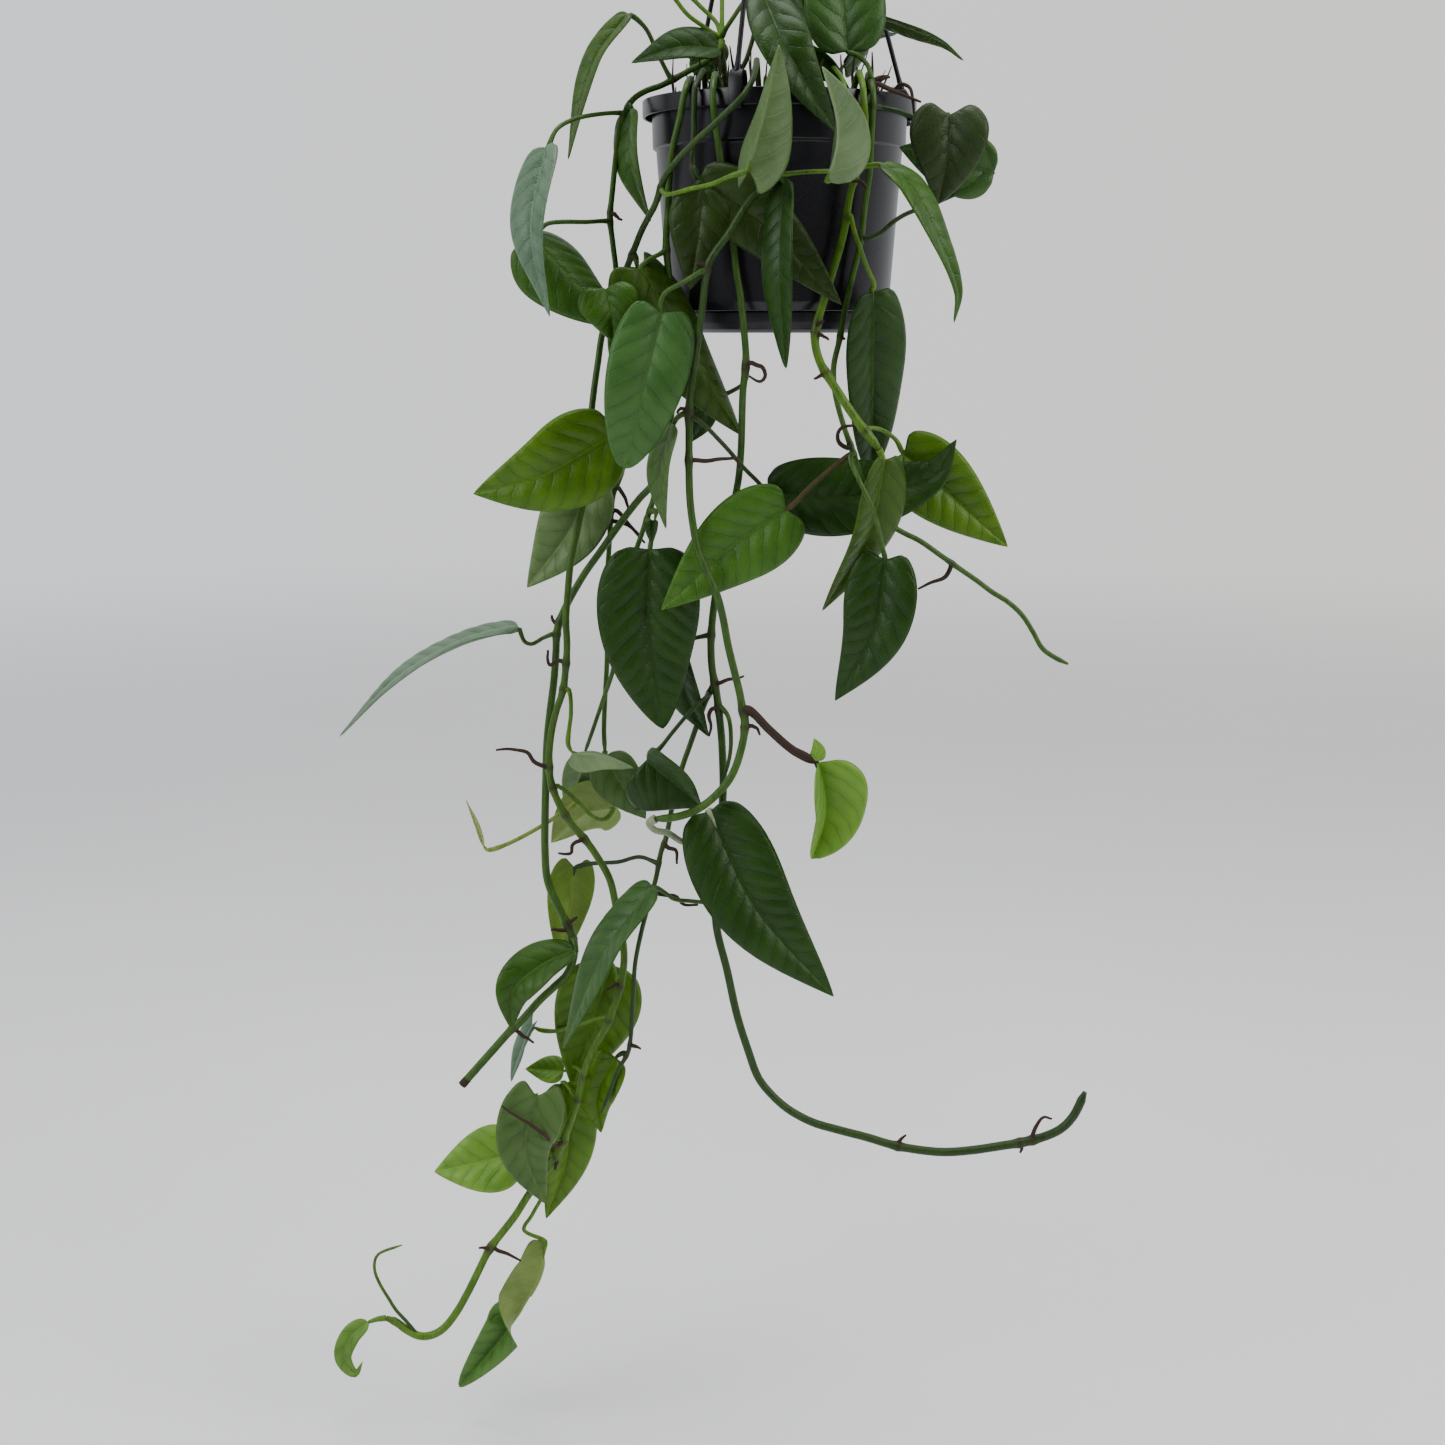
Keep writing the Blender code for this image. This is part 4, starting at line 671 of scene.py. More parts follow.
radii = np.linspace(0.0, SOIL_EDGE, SOIL_RINGS)
heights = SOIL_Z + SOIL_MOUND * np.interp(radii, MOUND_RADII, MOUND_SHARES)
soil_profile = np.concatenate([np.stack([radii, heights], axis=1), [
    (SOIL_EDGE, STEP_Z + 0.0008), (STEP_INNER - SOIL_GAP, STEP_Z - 0.0006),
    (LOW_INNER - SOIL_GAP, SOIL_LOW), (STUD_ROOM, SOIL_LOW),
    (STUD_ROOM, SOIL_LOW + STUD_ROOM_HEIGHT), (0.0, SOIL_LOW + STUD_ROOM_HEIGHT)]])
places, faces = turned(soil_profile, SOIL_STEPS)
reach = np.hypot(places[:, 0], places[:, 1])
on_top = (places[:, 2] > SOIL_Z - 0.0015) * np.clip((SOIL_EDGE - 0.0005 - reach) / 0.004, 0.0, 1.0)
places[:, 2] += on_top * sum(height * lumps(places[:, 0], places[:, 1], size, seed)
                             for height, size, seed in LUMPS)
soil = add_piece("potting_mix_fill", places, faces, [mix_finish.material], "soil")
print("potting mix faces:", len(soil.data.polygons))

# %% [markdown]
# ## Tubes along a route
#
# Wire, stems, stalks and air roots are all the same idea: a ring carried along
# a smooth route. The route goes through its knots on cubic spans, and the ring
# is turned as little as possible from one step to the next, so it never twists.

# %% Smooth routes and tubes
TUBE_SIDES = 10


def unit(vectors):
    return vectors / np.maximum(np.linalg.norm(vectors, axis=-1, keepdims=True), 1e-12)


def along_route(knots, share):
    """Places at shares 0 to 1 of a route: cubic Hermite spans, whose slopes at a knot are the chord
    between its neighbours, scaled to each span's part of it."""
    knots = np.asarray(knots, float)
    step = np.diff(knots, axis=0)
    span = np.linalg.norm(step, axis=1)
    ends = np.cumsum(span)
    want = np.asarray(share, float) * ends[-1]
    i = np.clip(np.searchsorted(ends, want, side="left"), 0, len(span) - 1)
    u = ((want - (ends - span)[i]) / span[i])[..., None]
    leave, arrive = step.copy(), step.copy()
    if len(span) > 1:
        chord = knots[2:] - knots[:-2]
        both = (span[1:] + span[:-1])[:, None]
        leave[1:] = chord * span[1:, None] / both
        arrive[:-1] = chord * span[:-1, None] / both
    return ((2 * u ** 3 - 3 * u ** 2 + 1) * knots[i] + (u ** 3 - 2 * u ** 2 + u) * leave[i]
            + (3 * u ** 2 - 2 * u ** 3) * knots[i + 1] + (u ** 3 - u ** 2) * arrive[i])


def route_length(knots):
    return float(np.linalg.norm(np.diff(np.asarray(knots, float), axis=0), axis=1).sum())


def dense(knots, step):
    """The smooth route as close places, one for each step of length."""
    count = max(4, int(route_length(knots) / step) + 1)
    return along_route(knots, np.linspace(0.0, 1.0, count))


def square_frames(route):
    """Two directions square to the route at each place, carried on from ring to ring."""
    tangent = unit(np.gradient(route, axis=0))
    across = np.empty_like(tangent)
    start = np.cross(tangent[0], (0.31, 0.85, 0.42))
    across[0] = start / np.linalg.norm(start)
    for i in range(1, len(tangent)):
        carried = across[i - 1] - tangent[i] * across[i - 1].dot(tangent[i])
        across[i] = carried / np.linalg.norm(carried)
    return across, np.cross(tangent, across)


def tube(route, radius, sides=TUBE_SIDES):
    """place = route + radius (across cos a + square sin a); both ends close on a point."""
    across, square = square_frames(route)
    angle = 2.0 * np.pi * np.arange(sides) / sides
    radius = np.broadcast_to(radius, len(route))[:, None, None]
    rings = route[:, None] + radius * (across[:, None] * np.cos(angle)[:, None]
                                       + square[:, None] * np.sin(angle)[:, None])
    grid = ring_grid(len(route), sides)
    faces = grid_faces(grid).tolist()
    faces += fan(grid[0, 1:], grid[0, :-1], len(route) * sides)
    faces += fan(grid[-1, :-1], grid[-1, 1:], len(route) * sides + 1)
    return np.concatenate([rings.reshape(-1, 3), route[:1], route[-1:]]), faces


print("sides of a tube:", TUBE_SIDES)

# %% [markdown]
# ## The hanger
#
# An open hook of plastic wire stands on a small hub, and three strands run
# from the hub to the rim, where each ends in a flat clip that straddles it.
# The clip is its outline carried across the strap's width, with its edges
# bevelled as a moulding's are.

# %% Hook and hub
WIRE_RADIUS, LOOP_RADIUS, OPEN_ANGLE, LOOP_STEPS = 0.0018, 0.0140, 200.0, 90
WIRE_STEP, WIRE_SIDES = 0.0009, 20
HUB_RADIUS, HUB_HEIGHT, HUB_DROP, HUB_STEPS = 0.0065, 0.0090, 0.006, 64
STRAND_RADIUS, STRAND_TOP = 0.0012, 0.0034
STRAND_STEP, STRAND_SIDES, STRAND_FOOT = 0.004, 14, 0.03
CLIP_WIDTH, CLIP_THICK, CLIP_ARCH = 0.0064, 0.0012, 0.0080
EDGE_WIDTH, EDGE_DEGREES = 0.00025, 40.0
STRANDS = {"hanger_strand_front": -19.0, "hanger_strand_right": 108.0, "hanger_strand_back": 221.0}

loop_z = WIRE_RADIUS - LOOP_RADIUS
hub_top = WIRE_RADIUS - 2.0 * LOOP_RADIUS - HUB_DROP
hub_low = hub_top - HUB_HEIGHT
angle = np.radians(np.linspace(-90.0, OPEN_ANGLE, LOOP_STEPS))
loop = np.stack([LOOP_RADIUS * np.cos(angle), 0.0 * angle, loop_z + LOOP_RADIUS * np.sin(angle)], axis=1)
shank = [(0.0, 0.0, hub_top - 0.5 * HUB_HEIGHT), (0.0, 0.0, hub_top + 0.002)]
wire = dense(np.concatenate([shank, loop]), WIRE_STEP)
thick = WIRE_RADIUS * np.sqrt(np.clip((len(wire) - np.arange(len(wire))) / 2.5, 0.1, 1.0))
wire_places, wire_faces = tube(wire, thick, WIRE_SIDES)
hub_profile = [
    (0.0, hub_top + 0.0020), (WIRE_RADIUS + 0.0012, hub_top + 0.0010), (HUB_RADIUS, hub_top - 0.0015),
    (HUB_RADIUS, hub_low + 0.0015), (HUB_RADIUS - 0.0020, hub_low), (0.0, hub_low)]
hub_places, hub_faces = turned(rounded(hub_profile, HUB_CORNER, False), HUB_STEPS)
hook = add_piece("hook_and_hub", np.concatenate([wire_places, hub_places]),
                 wire_faces + shifted(hub_faces, len(wire_places)), [plastics["hanger_plastic"]],
                 "hanger_hook")
print("hook faces:", len(hook.data.polygons))

# %% Strands and their clips
inner = BODY_TOP - POT_WALL - 3.5 * GAP
outer = RIM_RADIUS + GAP
arch = RIM_Z + CLIP_ARCH
low_out = RIM_Z - RIM_SKIRT - GAP
CLIP_OUTLINE = np.array([
    (inner - CLIP_THICK, RIM_Z - 0.0040), (inner, RIM_Z - 0.0040), (inner, RIM_Z + 0.0040),
    (inner + 0.0010, arch - 0.0016), (outer - 0.0022, arch - 0.0016), (outer, RIM_Z + 0.0036),
    (outer, low_out), (outer - 0.0012, low_out), (outer - 0.0012, low_out - CLIP_THICK),
    (outer + CLIP_THICK, low_out - CLIP_THICK), (outer + CLIP_THICK, RIM_Z + 0.0042),
    (outer - 0.0016, arch), (inner + 0.0004, arch), (inner - CLIP_THICK, RIM_Z + 0.0044)])


def strand(name, degrees):
    """The strand's tube, thicker over its last part, and its clip: the outline (r, z) goes to
    r out + z up, half a width to each side."""
    turn = math.radians(degrees)
    out = np.array([math.sin(turn), -math.cos(turn), 0.0])
    aside = np.array([math.cos(turn), math.sin(turn), 0.0])
    top = out * STRAND_TOP + (0.0, 0.0, hub_top - 0.6 * HUB_HEIGHT)
    foot = out * (RIM_RADIUS - 0.0020) + (0.0, 0.0, RIM_Z + CLIP_ARCH - 0.0012)
    route = dense([top, foot], STRAND_STEP)
    share = np.linspace(0.0, 1.0, len(route))
    near_foot = np.clip((share - (1.0 - STRAND_FOOT)) / STRAND_FOOT, 0, 1)
    tube_places, tube_faces = tube(route, STRAND_RADIUS * (1.0 + 0.5 * near_foot), STRAND_SIDES)
    ring = CLIP_OUTLINE[:, :1] * out + CLIP_OUTLINE[:, 1:] * (0.0, 0.0, 1.0)
    clip = np.concatenate([ring - aside * CLIP_WIDTH / 2, ring + aside * CLIP_WIDTH / 2])
    n = len(ring)
    here = np.arange(n)
    clip_faces = np.stack([here, (here + 1) % n, (here + 1) % n + n, here + n], axis=1).tolist()
    clip_faces += [here[::-1].tolist(), (here + n).tolist()]
    piece = add_piece(name.replace("hanger_", "") + "_and_clip", np.concatenate([tube_places, clip]),
                      tube_faces + shifted(clip_faces, len(tube_places)), [plastics["hanger_plastic"]],
                      name)
    soften = piece.modifiers.new("soft edges", "BEVEL")
    soften.width = EDGE_WIDTH
    soften.segments = 2
    soften.limit_method = "ANGLE"
    soften.angle_limit = math.radians(EDGE_DEGREES)
    return piece


for strand_name, strand_degrees in STRANDS.items():
    made = strand(strand_name, strand_degrees)
    print(made.name, "faces:", len(made.data.polygons))

# %% [markdown]
# ## Where each stem and leaf goes
#
# Stems and leaves follow the frame's plan, with a few short roots more. A vine
# has its foot in the mix (mm right and toward the viewer), its radii in mm at
# the foot and the tip, and the route of its stem. Some have side stems, whose
# radius is in m, and air roots. A leaf has the route of its stalk, the knots of
# its midrib, its width in mm, the roll of its blade at base and tip in degrees
# (0 shows the upper face to the viewer, 180 the underside), the fold of each
# half, and how far its lobes reach back. A last entry may say between which
# shares of the midrib the blade turns over, and how full its outline is. The
# shoots at the back are given in mm from the middle of the rim, because the
# camera doesn't see them.

# %% The plan of the vines
VINES = {
    "vine_left_short": {
        "foot": (-28, 10), "radii": (1.5, 1.3),
        "stem": [
            (722, 56, 10), (700, 65, 11), (685, 73, 11), (672, 80, 12), (660, 86, 12), (648, 90, 12),
            (637, 96, 13), (630, 103, 13), (626, 111, 14), (621, 122, 14), (618, 140, 14), (615, 165, 14),
            (612, 195, 14), (610, 218, 14), (613, 245, 14), (616, 275, 14), (612, 310, 14),
            (610, 340, 13), (614, 370, 12), (620, 400, 12), (625, 440, 11), (622, 472, 10),
            (614, 492, 10), (611, 515, 10), (609, 550, 10), (607, 580, 10), (607, 620, 10),
            (607, 660, 10), (605, 700, 10), (604, 730, 10), (605, 752, 10),
        ],
        "roots": [
            [(620, 490, 12), (626, 500, 13), (629, 512, 14)],
            [(617, 511, 12), (627, 522, 14), (640, 535, 15)], [(628, 525, 14), (645, 543, 15)],
            [(615, 215, 16), (622, 220, 18)],
        ],
        "leaves": [
            ([(671, 79, 12), (657, 52, 13), (648, 32, 14), (640, 22, 15)],
             [(629, 14, 16), (595, 62, 22), (568, 160, 24)], 20, 62, 62, 14, 0.06),
            ([(623, 113, 14), (600, 114, 22), (575, 119, 32), (557, 129, 41)],
             [(547, 147, 46), (532, 232, 64), (550, 317, 66)], 30, 54, 54, 12, 0.06),
            ([(629, 106, 15)], [(631, 110, 16), (632, 165, 20), (651, 222, 18)], 27, 62, 62, 12, 0.05),
            ([(606, 221, 17), (585, 222, 27), (560, 222, 35), (545, 225, 39)],
             [(534, 240, 42), (581, 289, 47), (629, 329, 49)], 41, -30, -30, -26, 0.14),
            ([(605, 300, 20), (596, 299, 38), (593, 294, 52)],
             [(605, 289, 59), (611, 314, 61), (614, 343, 59)], 29, 0, 0, 8, 0.16),
            ([(618, 412, 20), (613, 421, 30)],
             [(611, 436, 36), (547, 474, 43), (473, 494, 38)], 45, -8, -8, 8, 0.1),
            ([(608, 484, 12), (599, 479, 13)],
             [(593, 480, 13), (569, 532, 14), (527, 588, 11)], 38, 16, 16, 14, 0.08),
            ([(605, 753, 11)], [(605, 756, 11), (622, 785, 14), (646, 819, 14)], 27, 16, 16, 8, 0.06),
        ],
    },
    "vine_left_long": {
        "foot": (-10, 30), "radii": (1.4, 2.2),
        "stem": [
            (757, 62, 36), (756, 66, 48), (754, 74, 60), (751, 83, 69), (743, 96, 74), (728, 111, 73),
            (709, 129, 70), (700, 137, 67), (690, 147, 64), (680, 157, 61), (672, 167, 59),
            (665, 177, 56), (661, 187, 54), (655, 205, 50), (648, 218, 45), (641, 232, 41),
            (635, 247, 36), (629, 262, 30), (620, 285, 25), (609, 312, 22), (602, 335, 22),
            (598, 362, 23), (594, 390, 24), (590, 425, 26), (585, 465, 28), (583, 500, 29),
            (577, 530, 30), (571, 560, 31), (568, 590, 31), (566, 620, 31), (567, 645, 30),
            (566, 665, 29), (563, 690, 28), (556, 712, 27), (551, 735, 26), (549, 760, 26),
            (551, 782, 26), (560, 806, 27), (572, 825, 27), (587, 842, 27), (600, 861, 27),
            (610, 880, 27), (616, 906, 26), (622, 935, 26), (624, 962, 26), (619, 990, 26),
            (608, 1022, 27), (595, 1046, 28), (584, 1074, 28), (577, 1102, 28), (568, 1128, 28),
            (561, 1148, 27), (547, 1170, 25), (529, 1194, 25), (515, 1216, 26), (501, 1234, 26),
            (489, 1250, 26), (478, 1272, 27), (467, 1294, 28), (456, 1313, 28), (444, 1328, 29),
            (432, 1335, 29), (420, 1336, 30), (407, 1330, 30), (396, 1322, 30), (386, 1318, 30),
        ],
        "side_stems": [
            (0.0011, [
                (420, 1334, 30), (407, 1322, 31), (396, 1310, 31), (389, 1299, 31), (381, 1286, 31),
                (375, 1272, 31), (375, 1260, 31), (380, 1253, 31), (402, 1245, 31)]),
        ],
        "roots": [
            [(558, 661, 28), (550, 665, 27), (547, 658, 26), (548, 650, 25)],
            [(545, 767, 27), (535, 762, 28), (528, 753, 29), (518, 750, 30), (508, 749, 30), (496, 750, 31)],
            [(581, 841, 30), (572, 845, 31), (571, 853, 32), (558, 853, 33)],
            [(556, 1146, 34), (542, 1133, 45), (522, 1119, 47), (502, 1106, 47)],
            [(497, 1250, 28), (508, 1254, 30), (521, 1261, 31)], [(614, 985, 29), (607, 990, 31)],
            [(557, 1160, 27), (555, 1170, 28)], [(487, 1248, 28), (479, 1248, 30)],
        ],
        "leaves": [
            ([(664, 193, 56), (672, 194, 62), (690, 189, 70), (712, 184, 78), (731, 176, 87)],
             [(748, 171, 90), (765, 112, 92), (779, 44, 92)], 34, 132, 134, 24, 0.24),
            ([(635, 256, 34)], [(637, 267, 28), (640, 310, 22), (640, 350, 20)], 26, 6, 6, 10, 0.1),
            ([(569, 690, 29), (571, 712, 30), (568, 743, 31)],
             [(572, 753, 31), (605, 757, 34), (634, 768, 36)], 24, 118, 118, 20, 0.1),
            ([(558, 786, 24), (578, 802, 17), (595, 818, 10), (606, 819, 6)],
             [(615, 806, 4), (585, 814, 2), (551, 843, 0)], 36, 140, 140, 10, 0.08),
            ([(575, 803, 10), (562, 812, 8), (548, 822, 8), (520, 838, 9), (500, 847, 10), (488, 850, 10)],
             [(484, 847, 10), (477, 825, 10), (465, 798, 9)], 3, 0, 0, 20, 0.0),
            ([(618, 982, 20), (615, 972, 14)],
             [(611, 964, 9), (591, 1026, 9), (572, 1088, 7)], 46, 0, 0, 10, 0.06),
            ([(605, 1017, 26), (577, 1025, 20), (556, 1031, 14), (540, 1030, 10)],
             [(533, 1027, 9), (520, 1056, 8), (511, 1082, 8)], 22, 74, 60, 14, 0.3),
            ([(580, 1070, 18), (572, 1066, 8)],
             [(564, 1071, 2), (546, 1070, 1), (525, 1069, 1)], 17, 24, 24, 10, 0.06),
            ([(556, 1140, 29), (541, 1115, 33), (533, 1100, 37)],
             [(537, 1095, 38), (525, 1148, 41), (545, 1204, 38)], 34, -8, -8, 8, 0.2),
            ([(545, 1152, 26), (525, 1153, 24)],
             [(515, 1154, 24), (475, 1163, 26), (434, 1172, 24)], 36, 6, 6, 8, 0.12),
            ([(573, 1095, 22), (566, 1084, 16)],
             [(563, 1083, 14), (567, 1152, 16), (546, 1219, 13)], 32, -20, -20, 10, 0.08),
            ([(543, 1192, 24), (532, 1215, 23), (524, 1230, 23)],
             [(544, 1241, 24), (541, 1270, 28), (524, 1305, 30), (498, 1343, 30), (459, 1387, 28)],
             30, 128, 12, 34, 0.07, {"turn": (0.38, 0.54), "full": 0.6}),
            ([(378, 1319, 31)],
             [(368, 1322, 31), (352, 1336, 34), (344, 1357, 36), (355, 1373, 36), (363, 1361, 34)],
             12.5, 20, 20, 20, 0.04),
        ],
    },
    "vine_left_slim": {
        "foot": (-46, 14), "radii": (1.5, 2.2),
        "stem": [
            (691, 80, 36), (688, 82, 46), (686, 88, 52), (683, 100, 54), (680, 118, 53), (675, 138, 52),
            (671, 160, 50), (669, 185, 48), (668, 212, 47), (666, 240, 46), (668, 268, 42),
            (672, 300, 37), (675, 330, 33), (676, 360, 32), (673, 400, 33), (665, 445, 34),
            (653, 483, 33), (640, 498, 31), (628, 513, 29), (614, 532, 26), (600, 552, 23),
            (585, 573, 20), (572, 595, 18), (562, 615, 16), (557, 632, 16), (556, 652, 15),
            (554, 680, 15), (550, 712, 15), (547, 742, 15), (546, 775, 16), (545, 820, 16),
            (545, 850, 16), (547, 878, 16), (553, 896, 17), (562, 914, 18), (572, 936, 19),
            (574, 955, 20), (567, 974, 20), (555, 986, 20), (540, 1000, 21), (522, 1020, 22),
            (511, 1030, 22), (494, 1049, 22), (478, 1067, 22), (463, 1084, 22),
        ],
        "side_stems": [
            (0.0015, [
                (668, 432, 35), (660, 468, 36), (653, 500, 35), (643, 530, 34), (630, 570, 33),
                (619, 630, 32), (613, 670, 29), (603, 700, 23), (590, 738, 12), (585, 752, 7)]),
        ],
        "roots": [
            [(518, 1032, 23), (534, 1043, 24)], [(554, 622, 15), (552, 615, 14)],
            [(563, 930, 20), (551, 930, 21)], [(570, 922, 20), (577, 917, 21)],
        ],
        "leaves": [
            ([(660, 254, 48), (650, 259, 50)],
             [(641, 268, 53), (689, 350, 52), (742, 436, 42)], 47, -33, -33, -27, 0.15),
            ([(553, 634, 17), (543, 638, 17), (532, 644, 18), (525, 642, 18), (521, 634, 18)],
             [(519, 628, 18), (460, 645, 24), (400, 679, 28), (339, 737, 28)], 40, 80, 80, 8, 0.05),
            ([(574, 940, 23)],
             [(576, 951, 26), (541, 966, 30), (514, 990, 32), (511, 1030, 30)], 28, 60, -18, 14, 0.04),
            ([(652, 525, 40), (651, 542, 44)],
             [(650, 549, 46), (649, 640, 47), (663, 729, 47)], 51, 0, 0, 8, 0.08, {"full": 0.4}),
            ([(585, 755, 7)], [(586, 758, 6), (577, 785, 3), (566, 818, 0)], 20, 190, 190, 10, 0.05),
            ([(656, 512, 39)], [(654, 520, 43), (652, 545, 52)], 8, 30, 30, 25, 0.0),
        ],
    },
    "vine_front": {
        "foot": (8, 36), "radii": (1.6, 2.0),
        "stem": [
            (790, 68, 44), (788, 75, 56), (787, 77, 64), (786, 84, 70), (785, 95, 71), (785, 115, 72),
            (784, 140, 73), (781, 160, 74), (778, 176, 73), (766, 187, 72), (752, 198, 72),
            (740, 215, 72), (728, 235, 71), (715, 252, 70), (708, 266, 69), (705, 285, 67),
            (702, 312, 64), (698, 340, 61), (693, 372, 58), (690, 395, 57), (689, 412, 56),
            (689, 440, 56), (689, 470, 57), (690, 500, 58), (693, 525, 59), (698, 550, 60),
            (707, 572, 60), (717, 595, 60), (723, 618, 58), (728, 645, 57), (734, 670, 56),
            (739, 690, 55), (742, 706, 55), (745, 724, 56), (741, 750, 58), (731, 777, 60),
            (714, 797, 61), (696, 810, 61), (676, 817, 61), (655, 819, 60),
        ],
        "roots": [
            [(702, 264, 70), (697, 262, 71)], [(681, 409, 57), (677, 413, 58)],
            [(735, 460, 54), (739, 468, 53)], [(754, 726, 56), (760, 735, 56)],
        ],
        "leaves": [
            ([(781, 177, 73)],
             [(784, 182, 74), (780, 272, 86), (786, 369, 74)], 28, 60, 54, 8, 0.05, {"full": 0.4}),
            ([(785, 174, 74), (805, 172, 74), (830, 171, 72), (855, 169, 72), (872, 165, 74)],
             [(882, 164, 76), (909, 186, 82), (936, 235, 82), (957, 290, 76), (954, 323, 70)],
             23, -62, -62, 8, 0.05),
            ([(700, 272, 70), (682, 283, 67), (665, 293, 65), (660, 306, 64)],
             [(662, 312, 63), (643, 388, 67), (624, 469, 60)], 39, -4, -4, 6, 0.11, {"full": 0.8}),
            ([(683, 414, 55), (677, 418, 53)],
             [(673, 423, 52), (661, 475, 52), (666, 529, 50)], 26, 62, 62, 10, 0.04),
            ([(697, 419, 57), (722, 443, 53), (744, 468, 46), (758, 482, 40)],
             [(768, 493, 36), (852, 497, 36), (930, 477, 40), (957, 439, 48)], 39, -4, -14, 8, 0.07),
            ([(750, 712, 55), (768, 730, 55), (792, 751, 54), (808, 759, 54)],
             [(817, 762, 54), (824, 813, 50), (811, 859, 54)], 44, -38, -38, 40, 0.06, {"full": 0.7}),
            ([(751, 710, 57), (769, 728, 57), (793, 749, 56), (808, 757, 56)],
             [(817, 761, 55), (818, 750, 56), (814, 738, 56)], 8, 0, 0, 10, 0.0),
            ([(649, 823, 58), (655, 830, 55), (668, 833, 50), (685, 842, 46), (700, 832, 46),
              (707, 820, 49)],
             [(709, 811, 52), (757, 909, 62), (834, 997, 62)], 45, 4, 4, 8, 0.08),
        ],
    },
    "vine_middle_long": {
        "foot": (-26, 40), "radii": (1.5, 2.4),
        "stem": [
            (716, 76, 46), (714, 79, 56), (713, 88, 62), (713, 100, 64), (715, 120, 62), (718, 142, 58),
            (722, 170, 57), (727, 200, 57), (731, 225, 57), (734, 250, 57), (737, 275, 57),
            (741, 300, 58), (744, 330, 58), (746, 362, 56), (743, 390, 54), (742, 420, 48),
            (741, 450, 43), (738, 482, 39), (728, 530, 37), (720, 570, 36), (714, 605, 36),
            (711, 640, 36), (712, 668, 36), (716, 690, 36), (719, 712, 36), (722, 745, 36),
            (723, 795, 36), (718, 850, 36), (715, 900, 36), (717, 930, 36), (727, 970, 36),
            (737, 1015, 36), (748, 1050, 36), (758, 1077, 36), (771, 1094, 37), (788, 1109, 37),
            (812, 1122, 38), (839, 1130, 38), (866, 1137, 39), (893, 1145, 39), (920, 1150, 40),
            (946, 1152, 40), (973, 1150, 40), (1000, 1146, 40), (1024, 1142, 40), (1046, 1136, 40),
            (1062, 1128, 40), (1074, 1115, 40), (1085, 1092, 40),
        ],
        "side_stems": [
            (0.0015, [
                (712, 682, 36), (706, 700, 33), (698, 722, 30), (690, 745, 30), (682, 768, 32),
                (672, 808, 34), (666, 838, 34), (661, 852, 34), (656, 878, 34), (648, 906, 34),
                (640, 938, 34), (635, 965, 33), (633, 1000, 32), (629, 1049, 32), (619, 1069, 32),
                (610, 1092, 32), (602, 1112, 32)]),
            (0.0013, [
                (720, 703, 38), (728, 716, 40), (731, 738, 41), (729, 760, 42), (722, 783, 43)]),
        ],
        "roots": [
            [(751, 363, 58), (757, 366, 59), (763, 368, 60), (765, 376, 60), (760, 381, 60), (749, 376, 60)],
            [(720, 683, 38), (728, 680, 39), (744, 676, 40)],
            [(712, 708, 38), (709, 714, 39), (711, 728, 40), (709, 736, 40)],
            [(668, 848, 36), (676, 850, 37), (677, 864, 38)],
            [(1032, 1136, 41), (1037, 1125, 42), (1044, 1117, 43), (1052, 1119, 43)],
            [(676, 897, 34), (683, 904, 35), (698, 905, 35)], [(635, 1046, 33), (641, 1049, 33)],
            [(900, 1140, 40), (906, 1135, 41)], [(1022, 1149, 41), (1020, 1153, 41)],
        ],
        "leaves": [
            ([(746, 367, 53), (747, 376, 45), (742, 385, 35), (728, 393, 29), (713, 399, 27)],
             [(706, 402, 27), (699, 421, 26), (688, 444, 26)], 16, 10, 10, 10, 0.06),
            ([(704, 636, 35), (690, 640, 33)],
             [(675, 652, 31), (688, 697, 33), (709, 737, 32)], 27, 50, 50, 10, 0.06),
            ([(706, 697, 41), (690, 712, 45), (672, 733, 48), (660, 748, 48)],
             [(647, 759, 47), (674, 781, 50), (702, 807, 49)], 50, 46, 46, 26, 0.12),
            ([(640, 857, 26), (618, 862, 16), (600, 863, 12), (588, 864, 10)],
             [(575, 867, 9), (568, 913, 8), (560, 966, 5)], 25, 172, 172, 12, 0.16),
            ([(706, 902, 38), (690, 901, 42), (674, 899, 45), (664, 892, 48)],
             [(654, 887, 50), (608, 948, 56), (563, 1049, 48)], 38, 62, 62, 8, 0.06),
            ([(624, 1053, 29)],
             [(616, 1057, 25), (597, 1096, 21), (601, 1133, 19)], 26, 24, 24, 12, 0.08),
        ],
    },
    "vine_rim_leaves": {
        "foot": (-36, 28), "radii": (1.5, 1.4),
        "stem": [
            (704, 72, 40), (699, 79, 50), (695, 88, 57), (694, 110, 58), (694, 130, 58), (693, 152, 58),
            (693, 170, 59), (697, 182, 60),
        ],
        "leaves": [
            ([(693, 166, 59)], [(700, 178, 61), (765, 226, 63), (842, 305, 61)], 31, 0, 0, 3, 0.08),
            ([(699, 184, 61)], [(703, 188, 62), (698, 238, 63), (690, 290, 61)], 29, 0, 0, 3, 0.06),
        ],
    },
    "vine_right_inner": {
        "foot": (32, 30), "radii": (1.35, 2.2),
        "stem": [
            (858, 74, 42), (861, 78, 52), (863, 88, 58), (864, 100, 60), (865, 118, 59), (864, 140, 57),
            (859, 166, 56), (852, 186, 57), (848, 206, 57), (845, 226, 57), (840, 247, 57),
            (834, 267, 57), (828, 287, 57), (822, 306, 57), (817, 324, 58), (815, 342, 59),
            (820, 362, 60), (829, 378, 61), (838, 392, 62), (847, 406, 62), (856, 419, 62),
            (864, 430, 62), (872, 440, 62), (879, 449, 61),
        ],
        "roots": [
